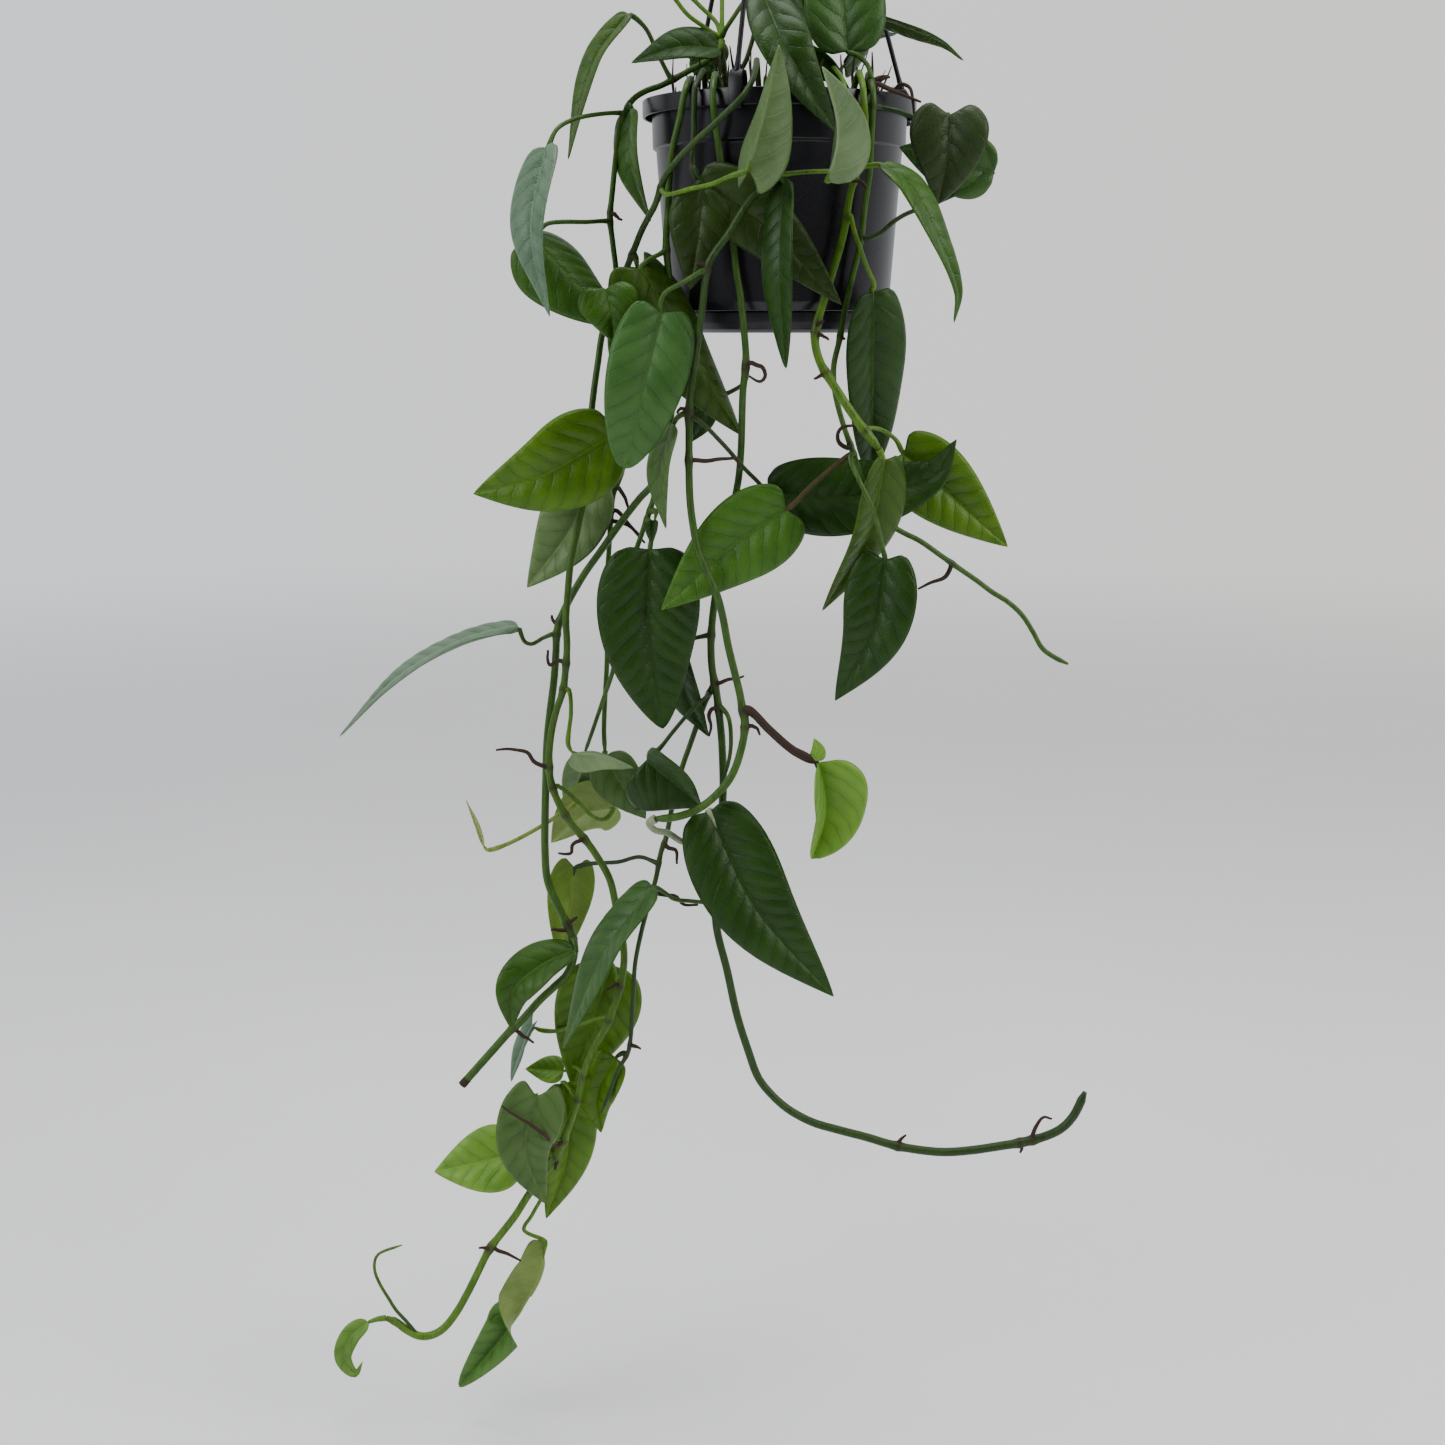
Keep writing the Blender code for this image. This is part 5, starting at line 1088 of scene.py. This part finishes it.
            [(854, 180, 59), (861, 182, 60), (867, 188, 60)], [(818, 325, 61), (824, 320, 61)],
            [(821, 335, 61), (829, 340, 61)], [(822, 375, 62), (814, 379, 63)],
        ],
        "leaves": [
            ([(850, 215, 59), (854, 230, 60), (860, 248, 60), (868, 270, 57), (874, 284, 53)],
             [(873, 291, 50), (872, 380, 38), (871, 472, 20)], 36, -38, -38, 10, 0.07, {"full": 0.8}),
            ([(881, 454, 60)], [(884, 459, 61), (869, 530, 57), (822, 611, 52)], 34, -52, -52, 12, 0.1),
            ([(868, 428, 50), (882, 430, 36), (896, 440, 31)],
             [(903, 453, 30), (951, 496, 30), (1008, 547, 29)], 38, 0, 0, 8, 0.14),
        ],
    },
    "vine_right_outer": {
        "foot": (42, 16), "radii": (1.6, 1.3),
        "stem": [
            (868, 76, 34), (870, 79, 44), (872, 85, 53), (873, 95, 56), (872, 122, 55), (871, 145, 53),
            (870, 168, 51), (867, 192, 50), (864, 212, 50), (862, 232, 50), (858, 254, 50),
            (852, 278, 50), (847, 300, 50), (843, 320, 50), (839, 342, 50), (834, 364, 50),
            (834, 385, 50), (838, 406, 50), (845, 430, 50), (853, 452, 50), (860, 474, 49),
            (870, 500, 48), (885, 521, 46), (902, 532, 44), (920, 541, 43), (940, 555, 41),
            (960, 569, 39), (976, 580, 38), (992, 592, 37), (1008, 602, 37), (1022, 615, 36),
            (1033, 632, 36), (1042, 648, 36), (1054, 657, 36), (1068, 664, 36),
        ],
        "roots": [
            [(875, 80, 47), (880, 77, 46), (889, 76, 46)],
            [(877, 84, 53), (890, 90, 51), (905, 95, 48), (921, 102, 46)],
            [(848, 448, 52), (839, 442, 54), (837, 434, 55), (842, 427, 56), (852, 425, 56), (858, 427, 55)],
            [(945, 577, 40), (930, 583, 42), (918, 589, 43)], [(842, 338, 51), (845, 339, 52)],
            [(875, 92, 44), (877, 84, 46), (883, 79, 47), (890, 77, 47)],
            [(893, 90, 40), (901, 84, 42), (910, 88, 44), (913, 101, 46), (914, 114, 46)],
        ],
        "leaves": [
            ([(871, 77, 50), (868, 66, 48), (860, 57, 46), (852, 53, 45)],
             [(848, 52, 44), (842, -20, 40), (836, -100, 30)], 39, 8, 8, 10, 0.08),
            ([(880, 107, 53), (897, 111, 54), (914, 117, 54), (932, 118, 55)],
             [(950, 114, 56), (947, 160, 57), (938, 205, 54)], 37, 0, 0, 8, 0.2),
            ([(870, 238, 51), (882, 232, 51), (892, 223, 51), (906, 214, 50), (930, 205, 48),
              (960, 192, 46), (985, 178, 44)],
             [(994, 173, 44), (950, 162, 46), (899, 147, 44)], 30, 0, 0, 8, 0.06),
            ([(845, 458, 50), (825, 474, 51), (805, 492, 51), (796, 502, 51)],
             [(787, 509, 50), (729, 549, 51), (661, 610, 56)], 42, -6, -6, 8, 0.12),
            ([(851, 456, 57), (852, 465, 72), (859, 480, 78), (873, 510, 78), (880, 535, 72),
              (883, 550, 65)],
             [(885, 559, 62), (874, 632, 62), (835, 701, 54)], 36, 4, 4, 12, 0.12),
        ],
    },
    "shoot_crown_left": {
        "foot": (-18, 20), "radii": (1.6, 1.3),
        "stem": [
            (727, 88, 22), (725, 76, 24), (723, 62, 26), (722, 48, 28), (722, 36, 28),
        ],
        "side_stems": [
            (0.0013, [
                (726, 82, 23), (742, 68, 26), (751, 45, 28), (757, 20, 30), (764, -10, 30)]),
        ],
        "leaves": [
            ([(721, 42, 29)], [(719, 49, 31), (678, 48, 36), (631, 63, 34)], 24, 50, 50, 14, 0.06),
            ([(718, 36, 28), (703, 26, 29), (688, 15, 30), (676, 0, 30)],
             [(664, -20, 30), (632, -50, 34), (600, -92, 34)], 32, 20, 20, 10, 0.08),
            ([(716, 22, 26), (702, 8, 24), (690, -4, 22)],
             [(680, -14, 20), (660, -60, 18), (640, -112, 10)], 36, -20, -20, 10, 0.08),
            ([(722, 20, 26), (722, 0, 22)],
             [(722, -20, 18), (710, -70, 14), (695, -122, 2)], 30, 10, 10, 10, 0.08),
            ([(727, 27, 34), (733, 18, 38), (741, 6, 40), (750, -6, 43), (757, -9, 52)],
             [(762, -7, 61), (790, 56, 78), (837, 134, 62)], 26, -22, -22, 10, 0.05),
        ],
    },
    "shoot_crown_right": {
        "foot": (14, 2), "radii": (1.6, 1.3),
        "stem": [
            (800, 74, 4), (808, 60, 4), (818, 52, 4), (832, 48, 2), (846, 40, 2), (856, 28, 4),
        ],
        "leaves": [
            ([(797, 67, 9), (794, 58, 17), (796, 52, 22)],
             [(802, 50, 26), (826, 66, 28), (850, 90, 27)], 20, 50, 50, 10, 0.08),
            ([(806, 50, 2), (808, 42, 0)],
             [(812, 36, -2), (800, -4, -8), (778, -52, -14)], 30, 16, 16, 10, 0.08),
            ([(861, 18, 6)],
             [(868, 13, 8), (905, 26, 16), (943, 42, 22), (964, 61, 24)], 19, 70, 70, 10, 0.05),
            ([(826, 60, 14), (836, 70, 40), (844, 84, 70), (846, 110, 82), (844, 150, 84), (834, 176, 86)],
             [(827, 182, 88), (837, 148, 92), (837, 118, 93), (822, 66, 90)], 30, 132, 128, 34, 0.03),
            ([(798, 60, 2), (790, 30, 4), (778, 6, 8)],
             [(770, -8, 10), (778, -60, 6), (792, -112, -6)], 29, 10, 10, 10, 0.08),
        ],
    },
}
BACK_SHOOTS = {
    "shoot_back_left": {
        "foot": (-16, -32), "radii": (1.6, 1.3),
        "stem": [
            (-17, -42, 2), (-18, -56, 10), (-19, -68, 6), (-20, -73, -6), (-21, -72, -24),
            (-20, -70, -42), (-17, -69, -58), (-12, -68, -72),
        ],
        "leaves": [
            ([(-25, -74, 2)], [(-31, -78, -4), (-37, -86, -24), (-36, -84, -48)], 26, 180, 180, 8, 0.1),
            ([(-16, -75, -22)], [(-9, -79, -24), (-5, -87, -44), (-6, -83, -70)], 24, 180, 180, 8, 0.08),
            ([(-25, -75, -44)],
             [(-31, -77, -50), (-36, -84, -68), (-34, -78, -90)], 24, 180, 180, 8, 0.08),
            ([(-12, -69, -76)],
             [(-12, -71, -80), (-9, -76, -92), (-8, -72, -104)], 15, 180, 180, 8, 0.08),
            ([(-21, -40, 12)], [(-29, -35, 20), (-42, -32, 30), (-53, -32, 29)], 22, 0, 0, 8, 0.08),
        ],
    },
    "shoot_back_right": {
        "foot": (20, -30), "radii": (1.6, 1.3),
        "stem": [
            (22, -40, 2), (25, -54, 10), (28, -66, 6), (30, -70, -8), (31, -70, -26), (30, -68, -44),
            (27, -67, -60), (24, -66, -76),
        ],
        "leaves": [
            ([(35, -71, -2)], [(41, -74, -6), (49, -80, -28), (46, -76, -52)], 26, 180, 180, 8, 0.1),
            ([(26, -74, -30)], [(22, -78, -34), (20, -88, -54), (21, -82, -78)], 22, 180, 180, 8, 0.08),
            ([(34, -72, -50)], [(39, -73, -56), (43, -78, -72), (40, -72, -90)], 22, 180, 180, 8, 0.1),
            ([(24, -67, -80)], [(24, -69, -84), (27, -74, -94), (28, -70, -104)], 14, 180, 180, 8, 0.1),
            ([(27, -44, 12)], [(34, -46, 22), (48, -52, 38), (62, -58, 40)], 26, 70, 70, 8, 0.1),
        ],
    },
}

# %% [markdown]
# ## Colours of the leaves
#
# Young leaves are yellow-green. Leaves with light behind them get a yellow-green
# tone too, the lit tone, which is painted backlight. Old ones are deep and dark,
# some are silvery, and the underside is a pale sage. Each tone is a pair, upper
# face and underside. A stem's leaves take their tones in the order of the plan;
# a second word after a colon is the tone of that leaf's stalk.

# %% Tones
LEAF_TONES = {
    "deep": ((0.012, 0.044, 0.001), (0.036, 0.080, 0.010)),
    "dusk": ((0.024, 0.044, 0.010), (0.050, 0.085, 0.025)),
    "olive": ((0.018, 0.040, 0.002), (0.040, 0.080, 0.010)),
    "moss": ((0.030, 0.074, 0.001), (0.050, 0.105, 0.010)),
    "fern": ((0.026, 0.082, 0.001), (0.060, 0.140, 0.014)),
    "elder": ((0.066, 0.160, 0.026), (0.140, 0.205, 0.048)),
    "spring": ((0.092, 0.195, 0.028), (0.150, 0.230, 0.050)),
    "clear": ((0.041, 0.114, 0.021), (0.080, 0.140, 0.045)),
    "fresh": ((0.044, 0.124, 0.009), (0.085, 0.165, 0.024)),
    "blue": ((0.030, 0.084, 0.012), (0.070, 0.130, 0.040)),
    "silver": ((0.085, 0.150, 0.085), (0.120, 0.190, 0.090)),
    "grass": ((0.030, 0.088, 0.004), (0.080, 0.160, 0.018)),
    # painted backlight: the bright yellow-green of a leaf with light behind it, put into its colour
    "lit": ((0.060, 0.140, 0.003), (0.110, 0.200, 0.018)),
    "sage": ((0.055, 0.110, 0.024), (0.078, 0.135, 0.042)),
    "young": ((0.122, 0.262, 0.026), (0.200, 0.290, 0.075)),
    "pale": ((0.105, 0.175, 0.055), (0.130, 0.200, 0.085)),
    "thread": ((0.240, 0.310, 0.100), (0.240, 0.310, 0.100)),
}
STEM_TONES = {
    "stem": (0.040, 0.105, 0.008),
    "bright": (0.078, 0.180, 0.008),
    "dark": (0.018, 0.045, 0.006),
    "brown": (0.030, 0.016, 0.010),
    "straw": (0.200, 0.290, 0.045),
    "dry": (0.050, 0.042, 0.014),
    "pale": (0.260, 0.310, 0.190),
}
CUT_ENDS = ("vine_left_slim",)
VINE_TONES = {
    "vine_left_short": ("stem stem", "moss silver grass grass fern lit pale sage"),
    "vine_left_long": ("dark bright", "sage dusk pale young:bright thread:straw lit:bright silver:bright "
                       "young:bright sage:bright young:bright lit:bright elder:bright spring:bright"),
    "vine_left_slim": ("stem stem", "moss silver:stem grass deep pale deep"),
    "vine_front": ("dark stem", "deep fern:bright clear sage deep:dark young:brown young:brown deep:pale"),
    "vine_middle_long": ("stem dark", "deep deep deep lit blue:stem lit"),
    "vine_rim_leaves": ("dark dark", "olive olive"),
    "vine_right_inner": ("bright bright", "deep moss lit"),
    "vine_right_outer": ("stem stem", "blue dusk:dark blue:dark fresh:dry deep"),
    "shoot_crown_left": ("dark stem", "deep:bright deep:bright deep:bright grass:bright deep"),
    "shoot_crown_right": ("bright bright", "deep deep sage pale deep"),
    "shoot_back_left": ("stem bright", "blue deep grass lit blue"),
    "shoot_back_right": ("stem stem", "deep blue grass lit deep"),
}
print("leaf tones:", list(LEAF_TONES))

# %% [markdown]
# ## A leaf blade
#
# A blade is a sheet over its midrib. One parameter runs from the notch at the
# stalk to the tip, the other from one margin over the midrib to the other. The
# lobes reach back past the stalk, the halves fold up along the midrib, and the
# tissue swells between the side veins. Both faces are built, so the blade is a
# closed solid that thins out at its margin, with a raised rib underneath.

# %% Leaf blades
BLADE_THICKNESS = 0.0008
FIRST_SHARE = 0.05
WAVE_SHARE = 0.030
BLADE_COLUMNS = 27
ROW_STEP, FEWEST_ROWS, MOST_ROWS = 0.0013, 26, 84
VEIN_SPACING, VEIN_SLANT, VEIN_CURVE = 0.0090, 0.62, 0.9
CROWN_SHARE, SWELL_SHARE = 0.045, 0.021
RIB_HALF, RIB_SUNK, RIB_PROUD = 0.0009, 0.00018, 0.00060


def half_width(q, full):
    """Share of the widest: sin(pi q^(0.62 + 0.10 full))^(0.9 - 0.45 full), from lobes' back to tip."""
    wave = np.sin(np.pi * np.clip(q, 0.0, 1.0) ** (0.62 + 0.10 * full))
    return np.maximum(wave, 0.0) ** (0.9 - 0.45 * full)


def blade_faces(rows, columns):
    """Upper and lower faces, joined at the margins, at the back row and in one place at the tip."""
    top = np.arange(rows * columns).reshape(rows, columns)
    top[-1] = top[-1, 0]
    low = top + rows * columns
    low[0], low[-1] = top[0], top[-1]
    low[:, 0], low[:, -1] = top[:, 0], top[:, -1]
    quads = np.concatenate([grid_faces(top[:-1]), grid_faces(low[:-1])[:, ::-1]])
    tips = np.concatenate([
        np.stack([top[-2, :-1], top[-2, 1:], top[-1, :-1]], axis=1),
        np.stack([low[-2, 1:], low[-2, :-1], top[-1, :-1]], axis=1)])
    return quads, tips


def blade(midrib, width, rolls, fold, lobe, turn=(0.0, 1.0), full=0.0):
    """Places, faces and vein values of one blade.

    With t from notch to tip and s from margin to margin: the place along the midrib runs from
    t^1.25 at the rib to q (1 + lobe) - lobe at the margin, as |s|^1.3. From there the sheet goes
    half_width(q) |s| width / 2 aside, turned by the roll and raised by the fold. Side veins are
    lines of equal along - 0.62 aside - 0.9 aside^2, with aside as a share of the length, and the
    sheet stands |sin(pi phase)|^0.8 proud between them.
    """
    length = route_length(midrib)
    rows = int(np.clip(length / ROW_STEP, FEWEST_ROWS, MOST_ROWS))
    t = np.linspace(0.0, 1.0, rows)[:, None]
    even = np.linspace(-1.0, 1.0, BLADE_COLUMNS)[None, :]
    s = np.sign(even) * np.abs(even) ** 1.2
    part = np.abs(s)
    q = FIRST_SHARE + (1.0 - FIRST_SHARE) * t ** 1.05
    out_along = q * (1.0 + lobe) - lobe
    rib_along = t ** 1.25
    along = rib_along + (out_along - rib_along) * part ** 1.3
    along = along + 0.030 * part ** 6 * np.exp(-t / 0.030)
    forward = np.clip(along, 0.0, 1.0)
    place = along_route(midrib, forward)
    tangent = unit(along_route(midrib, np.minimum(1.0, forward + 0.02))
                   - along_route(midrib, np.maximum(0.0, forward - 0.02)))
    place = place + tangent * (np.minimum(0.0, along) * length)[..., None]
    facing = unit(EYE - place)
    facing = unit(facing - tangent * (facing * tangent).sum(axis=-1, keepdims=True))
    aside = np.cross(tangent, facing)
    turned_share = np.clip((forward - turn[0]) / (turn[1] - turn[0]), 0.0, 1.0)
    roll = np.radians(rolls[0] + (rolls[1] - rolls[0]) * turned_share)[..., None]
    upper = facing * np.cos(roll) + aside * np.sin(roll)
    side = aside * np.cos(roll) - facing * np.sin(roll)
    reach = 0.5 * width * half_width(q, full) * part
    bend = math.radians(fold)
    ripple = WAVE_SHARE * width * part ** 2 * np.sin(2.0 * np.pi * (1.6 * t + 0.25 * s))
    count = max(5.0, round(length / VEIN_SPACING))
    behind = VEIN_SLANT * reach / length + VEIN_CURVE * (reach / length) ** 2
    phase = count * (along - behind) + np.where(s < 0.0, 0.5, 0.0)
    swell = np.abs(np.sin(np.pi * phase)) ** 0.8 * np.sin(np.pi * part ** 0.75) ** 0.7
    swell = swell * np.clip(t / 0.06, 0.0, 1.0) * (1.0 - t ** 3)
    crown = 4.0 * part * (1.0 - part) * CROWN_SHARE * width * half_width(q, full)
    rib = np.exp(-(reach / RIB_HALF) ** 2) * (1.0 - t) ** 0.6 * np.clip(t / 0.02, 0.0, 1.0)
    lift = reach * math.sin(bend) + ripple * (1.0 - t) + crown + SWELL_SHARE * width * swell
    sheet = place + side * (np.sign(s) * reach * math.cos(bend))[..., None] + upper * lift[..., None]
    half = 0.5 * BLADE_THICKNESS * np.sqrt(np.maximum(1.0 - part ** 8, 0.0))
    half = half * np.clip(t / 0.015, 0.0, 1.0) ** 0.5 * np.clip((1.0 - t) / 0.02, 0.0, 1.0) ** 0.5
    above = sheet + upper * (half - RIB_SUNK * rib)[..., None]
    under = sheet - upper * (half + RIB_PROUD * rib)[..., None]
    on_top = np.stack([phase, reach * 1000.0, np.ones_like(reach), part + 0.0 * t], axis=-1).reshape(-1, 4)
    veins = np.concatenate([on_top, on_top * (1.0, 1.0, 0.0, 1.0)])
    places = np.concatenate([above.reshape(-1, 3), under.reshape(-1, 3)])
    quads, tips = blade_faces(rows, BLADE_COLUMNS)
    used, new = np.unique(np.concatenate([quads.ravel(), tips.ravel()]), return_inverse=True)
    faces = new[:quads.size].reshape(-1, 4).tolist() + new[quads.size:].reshape(-1, 3).tolist()
    return places[used], faces, veins[used], upper[0, BLADE_COLUMNS // 2]


print("places across a blade:", BLADE_COLUMNS)

# %% [markdown]
# ## From the plan to places
#
# A point of the plan is a pixel and a depth, so its place is where the ray
# through that pixel reaches that depth. A stalk starts at the nearest place of
# any stem, which keeps every leaf joined to its vine.

# %% Places of the plan's points
BELOW_SOIL, ABOVE_SOIL = 0.0140, 0.008


def seen(points):
    """Places of (px across, px down, mm toward): along the ray through the pixel to that depth."""
    across, down, toward = np.array(points, float).T
    ray = (FORWARD + np.outer((across - PICTURE_PX / 2) / FOCAL_PX, RIGHT)
           - np.outer((down - PICTURE_PX / 2) / FOCAL_PX, UP))
    reach = (-EYE[1] - toward / 1000.0) / ray[:, 1]
    return EYE + ray * reach[:, None]


def placed(points):
    """Places of (mm right, mm toward the viewer, mm above the rim)."""
    return np.array(points, float) * (0.001, -0.001, 0.001) + (0.0, 0.0, RIM_Z)


def rooted(x, toward):
    """The upright foot of a stem, from down in the mix to just above it."""
    foot = np.array([x / 1000.0, -toward / 1000.0, SOIL_Z])
    return np.stack([foot - (0.0, 0.0, BELOW_SOIL), foot + (0.0, 0.0, ABOVE_SOIL)])


def nearest(routes, place):
    """The place on any of the dense routes that is nearest to a place."""
    every = np.concatenate(routes)
    return every[np.argmin(np.linalg.norm(every - place, axis=1))]


def near_node(route, nodes, spread):
    """A bell of each place's distance to its nearest node: 1 at the node, and near 0 past the spread."""
    away = np.linalg.norm(route[:, None] - np.array(nodes)[None], axis=2).min(axis=1)
    return np.exp(-(away / spread) ** 2)


def crooked(route, size, seed):
    """A route with small smooth wanders that fade out at its ends."""
    draw = np.random.default_rng(seed)
    share = np.linspace(0.0, 1.0, len(route))[:, None]
    wander = sum(draw.normal(0.0, size / k, 3) * np.sin(np.pi * k * share) for k in (2, 3, 5))
    return route + wander


print("middle of the picture at the pot's axis:", seen([(PICTURE_PX / 2, PICTURE_PX / 2, 0)]).round(4))

# %% [markdown]
# ## A leafy stem
#
# A stem swells a little at each node, where a stalk or a root leaves it, and
# has a brown scar there. The stalk clasps the stem, thins, and has a thicker
# joint just below the blade. Air roots are thin, brown and slightly crooked.
# Dry leaf bases stand round each foot.

# %% Stems with their nodes
STEM_STEP = 0.0022
NODE_SWELL, NODE_SPREAD = 0.28, 0.0022
SCAR_SHARE, SCAR_SPREAD = 0.65, 0.0016


def add_stem(growth, route, first, last, nodes, from_tone, to_tone):
    """A stem that thins from first to last, with a swelling and a brown scar at each node."""
    share = np.linspace(0.0, 1.0, len(route))
    size = (first + (last - first) * share) * (1.0 + NODE_SWELL * near_node(route, nodes, NODE_SPREAD))
    tip = np.clip((len(route) - 1 - np.arange(len(route))) / 2.0, 0.25, 1.0) ** 0.5
    places, faces = tube(route, size * tip)
    tone = from_tone + (to_tone - from_tone) * share[:, None]
    scar = SCAR_SHARE * near_node(route, nodes, SCAR_SPREAD)[:, None]
    tone = tone + (STEM_TONES["brown"] - tone) * scar
    tints = np.concatenate([np.repeat(tone, TUBE_SIDES, axis=0), tone[:1], tone[-1:]])
    growth.add(places, faces, tints, "stem")


print("step along a stem in m:", STEM_STEP)

# %% Leaves on their stalks
STALK_RADIUS, STALK_STEP = 0.0012, 0.0016
STALK_SIZES = {"brown": 1.45, "dry": 1.15, "pale": 1.5}
DRY_STALKS = ("brown", "dry")
STALK_DROP, STALK_SHARES = 0.0007, (0.04, 0.10)
CLASP, CLASP_SPREAD = 0.40, 0.004
JOINT, JOINT_PLACE, JOINT_SPREAD = 0.22, 0.010, 0.004


def add_leaf(growth, routes, leaf_plan, leaf_tone, stalk_tone, stem_tone):
    """A blade, and the stalk from the nearest stem to just under the blade's base."""
    stalk, midrib, width, base, tip, fold, lobe, *special = leaf_plan
    over, beneath = [np.array(colour) for colour in LEAF_TONES[leaf_tone]]
    places, faces, veins, upper = blade(midrib, width / 1000.0, (base, tip), fold, lobe,
                                        **(special[0] if special else {}))
    growth.add(places, faces, beneath + (over - beneath) * veins[:, 2:3], "leaf", veins)
    below = upper * -STALK_DROP
    ends = along_route(midrib, np.array(STALK_SHARES)) + below * [[1.0], [0.55]]
    start = nearest(routes, stalk[0])
    route = dense(np.concatenate([[start], stalk, [midrib[0] + below], ends]), STALK_STEP)
    left = route_length(route) * (1.0 - np.linspace(0.0, 1.0, len(route)))
    clasp = CLASP * np.exp(-((left[0] - left) / CLASP_SPREAD) ** 2)
    joint = JOINT * np.exp(-((left - JOINT_PLACE) / JOINT_SPREAD) ** 2)
    thin_end = np.clip(left / 0.006, 0.12, 1.0) ** 0.7
    size = STALK_RADIUS * (0.92 + clasp + joint) * thin_end * STALK_SIZES.get(stalk_tone, 1.0)
    places, faces = tube(route, size)
    growth.add(places, faces, STEM_TONES[stalk_tone or stem_tone],
               "root" if stalk_tone in DRY_STALKS else "stem")


print("stalk radius in m:", STALK_RADIUS)

# %% Air roots and old leaf bases
ROOT_RADIUS, ROOT_STEP, ROOT_SIDES = 0.0011, 0.0012, 8
ROOT_WANDER, BASE_WANDER = 0.0004, 0.0007
OLD_BASES = 9
BASE_TONES = ("brown", "dark", "brown", "dry", "brown", "stem")
BASE_START, BASE_RISE, BASE_LEAN = (0.0015, 0.0070), (0.016, 0.040), (0.0, 0.011)
BASE_RADII = (0.0006, 0.0014)


def add_root(growth, knots, seed):
    """An air root: brown, slightly crooked, and thinner toward its end."""
    route = crooked(dense(knots, ROOT_STEP), ROOT_WANDER, seed)
    share = np.linspace(0.0, 1.0, len(route))
    places, faces = tube(route, ROOT_RADIUS * (1.10 - 0.60 * share ** 1.5), ROOT_SIDES)
    growth.add(places, faces, STEM_TONES["brown"], "root")


def old_bases(growth, foot, seed):
    """Dry leaf bases and root stubs at a stem's foot: each rises from the mix, leans out and thins."""
    draw = np.random.default_rng(seed)
    for i in range(OLD_BASES):
        way = draw.uniform(0.0, 2.0 * np.pi)
        out = np.array([math.cos(way), math.sin(way), 0.0])
        start = foot + out * draw.uniform(*BASE_START)
        rise = np.array([0.0, 0.0, draw.uniform(*BASE_RISE)])
        lean = out * draw.uniform(*BASE_LEAN)
        knots = [start - (0.0, 0.0, 0.006), start + 0.5 * rise + 0.2 * lean, start + rise + lean]
        route = crooked(dense(knots, ROOT_STEP), BASE_WANDER, seed + i)
        share = np.linspace(0.0, 1.0, len(route))
        places, faces = tube(route, draw.uniform(*BASE_RADII) * (1.0 - 0.75 * share ** 2), ROOT_SIDES)
        growth.add(places, faces, STEM_TONES[BASE_TONES[i % len(BASE_TONES)]], "root")


print("old leaf bases at each foot:", OLD_BASES)

# %% One whole piece
BACK_FIRST = 20


def grow(node, plan, read, number):
    """One leafy stem as one piece: stem, side stems, roots, and each leaf's blade and stalk. The plan's
    points become places by read, and the number sets the random draws."""
    stem_tones, leaf_tones = [words.split() for words in VINE_TONES[node]]
    from_tone, to_tone = [np.array(STEM_TONES[tone]) for tone in stem_tones]
    first, last = [radius / 1000.0 for radius in plan["radii"]]
    stem_knots = np.concatenate([rooted(*plan["foot"]), read(plan["stem"])])
    roots = [read(points) for points in plan.get("roots", [])]
    leaves = [(read(stalk), read(midrib), *rest) for stalk, midrib, *rest in plan["leaves"]]
    growth = Growth()
    main = dense(stem_knots, STEM_STEP)
    lines = [(main, first, last)]
    for radius, points in plan.get("side_stems", []):
        knots = read(points)
        knots[0] = nearest([main], knots[0])
        lines.append((dense(knots, STEM_STEP), radius, 0.7 * radius))
    routes = [route for route, *_ in lines]
    root_starts = [nearest(routes, points[0]) for points in roots]
    nodes = [nearest(routes, stalk[0]) for stalk, *_ in leaves] + root_starts
    for line in lines:
        add_stem(growth, *line, nodes, from_tone, to_tone)
    if node in CUT_ENDS:
        places, faces = tube(main[-3:] + (main[-1] - main[-2]) * 0.3, last * 1.05)
        growth.add(places, faces, STEM_TONES["brown"], "root")
    for i, (points, start) in enumerate(zip(roots, root_starts)):
        add_root(growth, np.concatenate([[start], points]), 100 * number + i)
    old_bases(growth, stem_knots[0] + (0.0, 0.0, BELOW_SOIL), 1000 + 50 * number)
    for leaf_plan, words in zip(leaves, leaf_tones):
        leaf_tone, _, stalk_tone = words.partition(":")
        add_leaf(growth, routes, leaf_plan, leaf_tone, stalk_tone, stem_tones[1])
    piece = growth.finish("grown_" + node, node)
    print(node, "faces:", len(piece.data.polygons))


print("stems to grow:", len(VINES) + len(BACK_SHOOTS))

# %% Grow the stems seen from the front
for position, (vine, plan) in enumerate(VINES.items()):
    grow(vine, plan, seen, position)

# %% Grow the shoots over the back of the rim
for position, (vine, plan) in enumerate(BACK_SHOOTS.items()):
    grow(vine, plan, placed, BACK_FIRST + position)
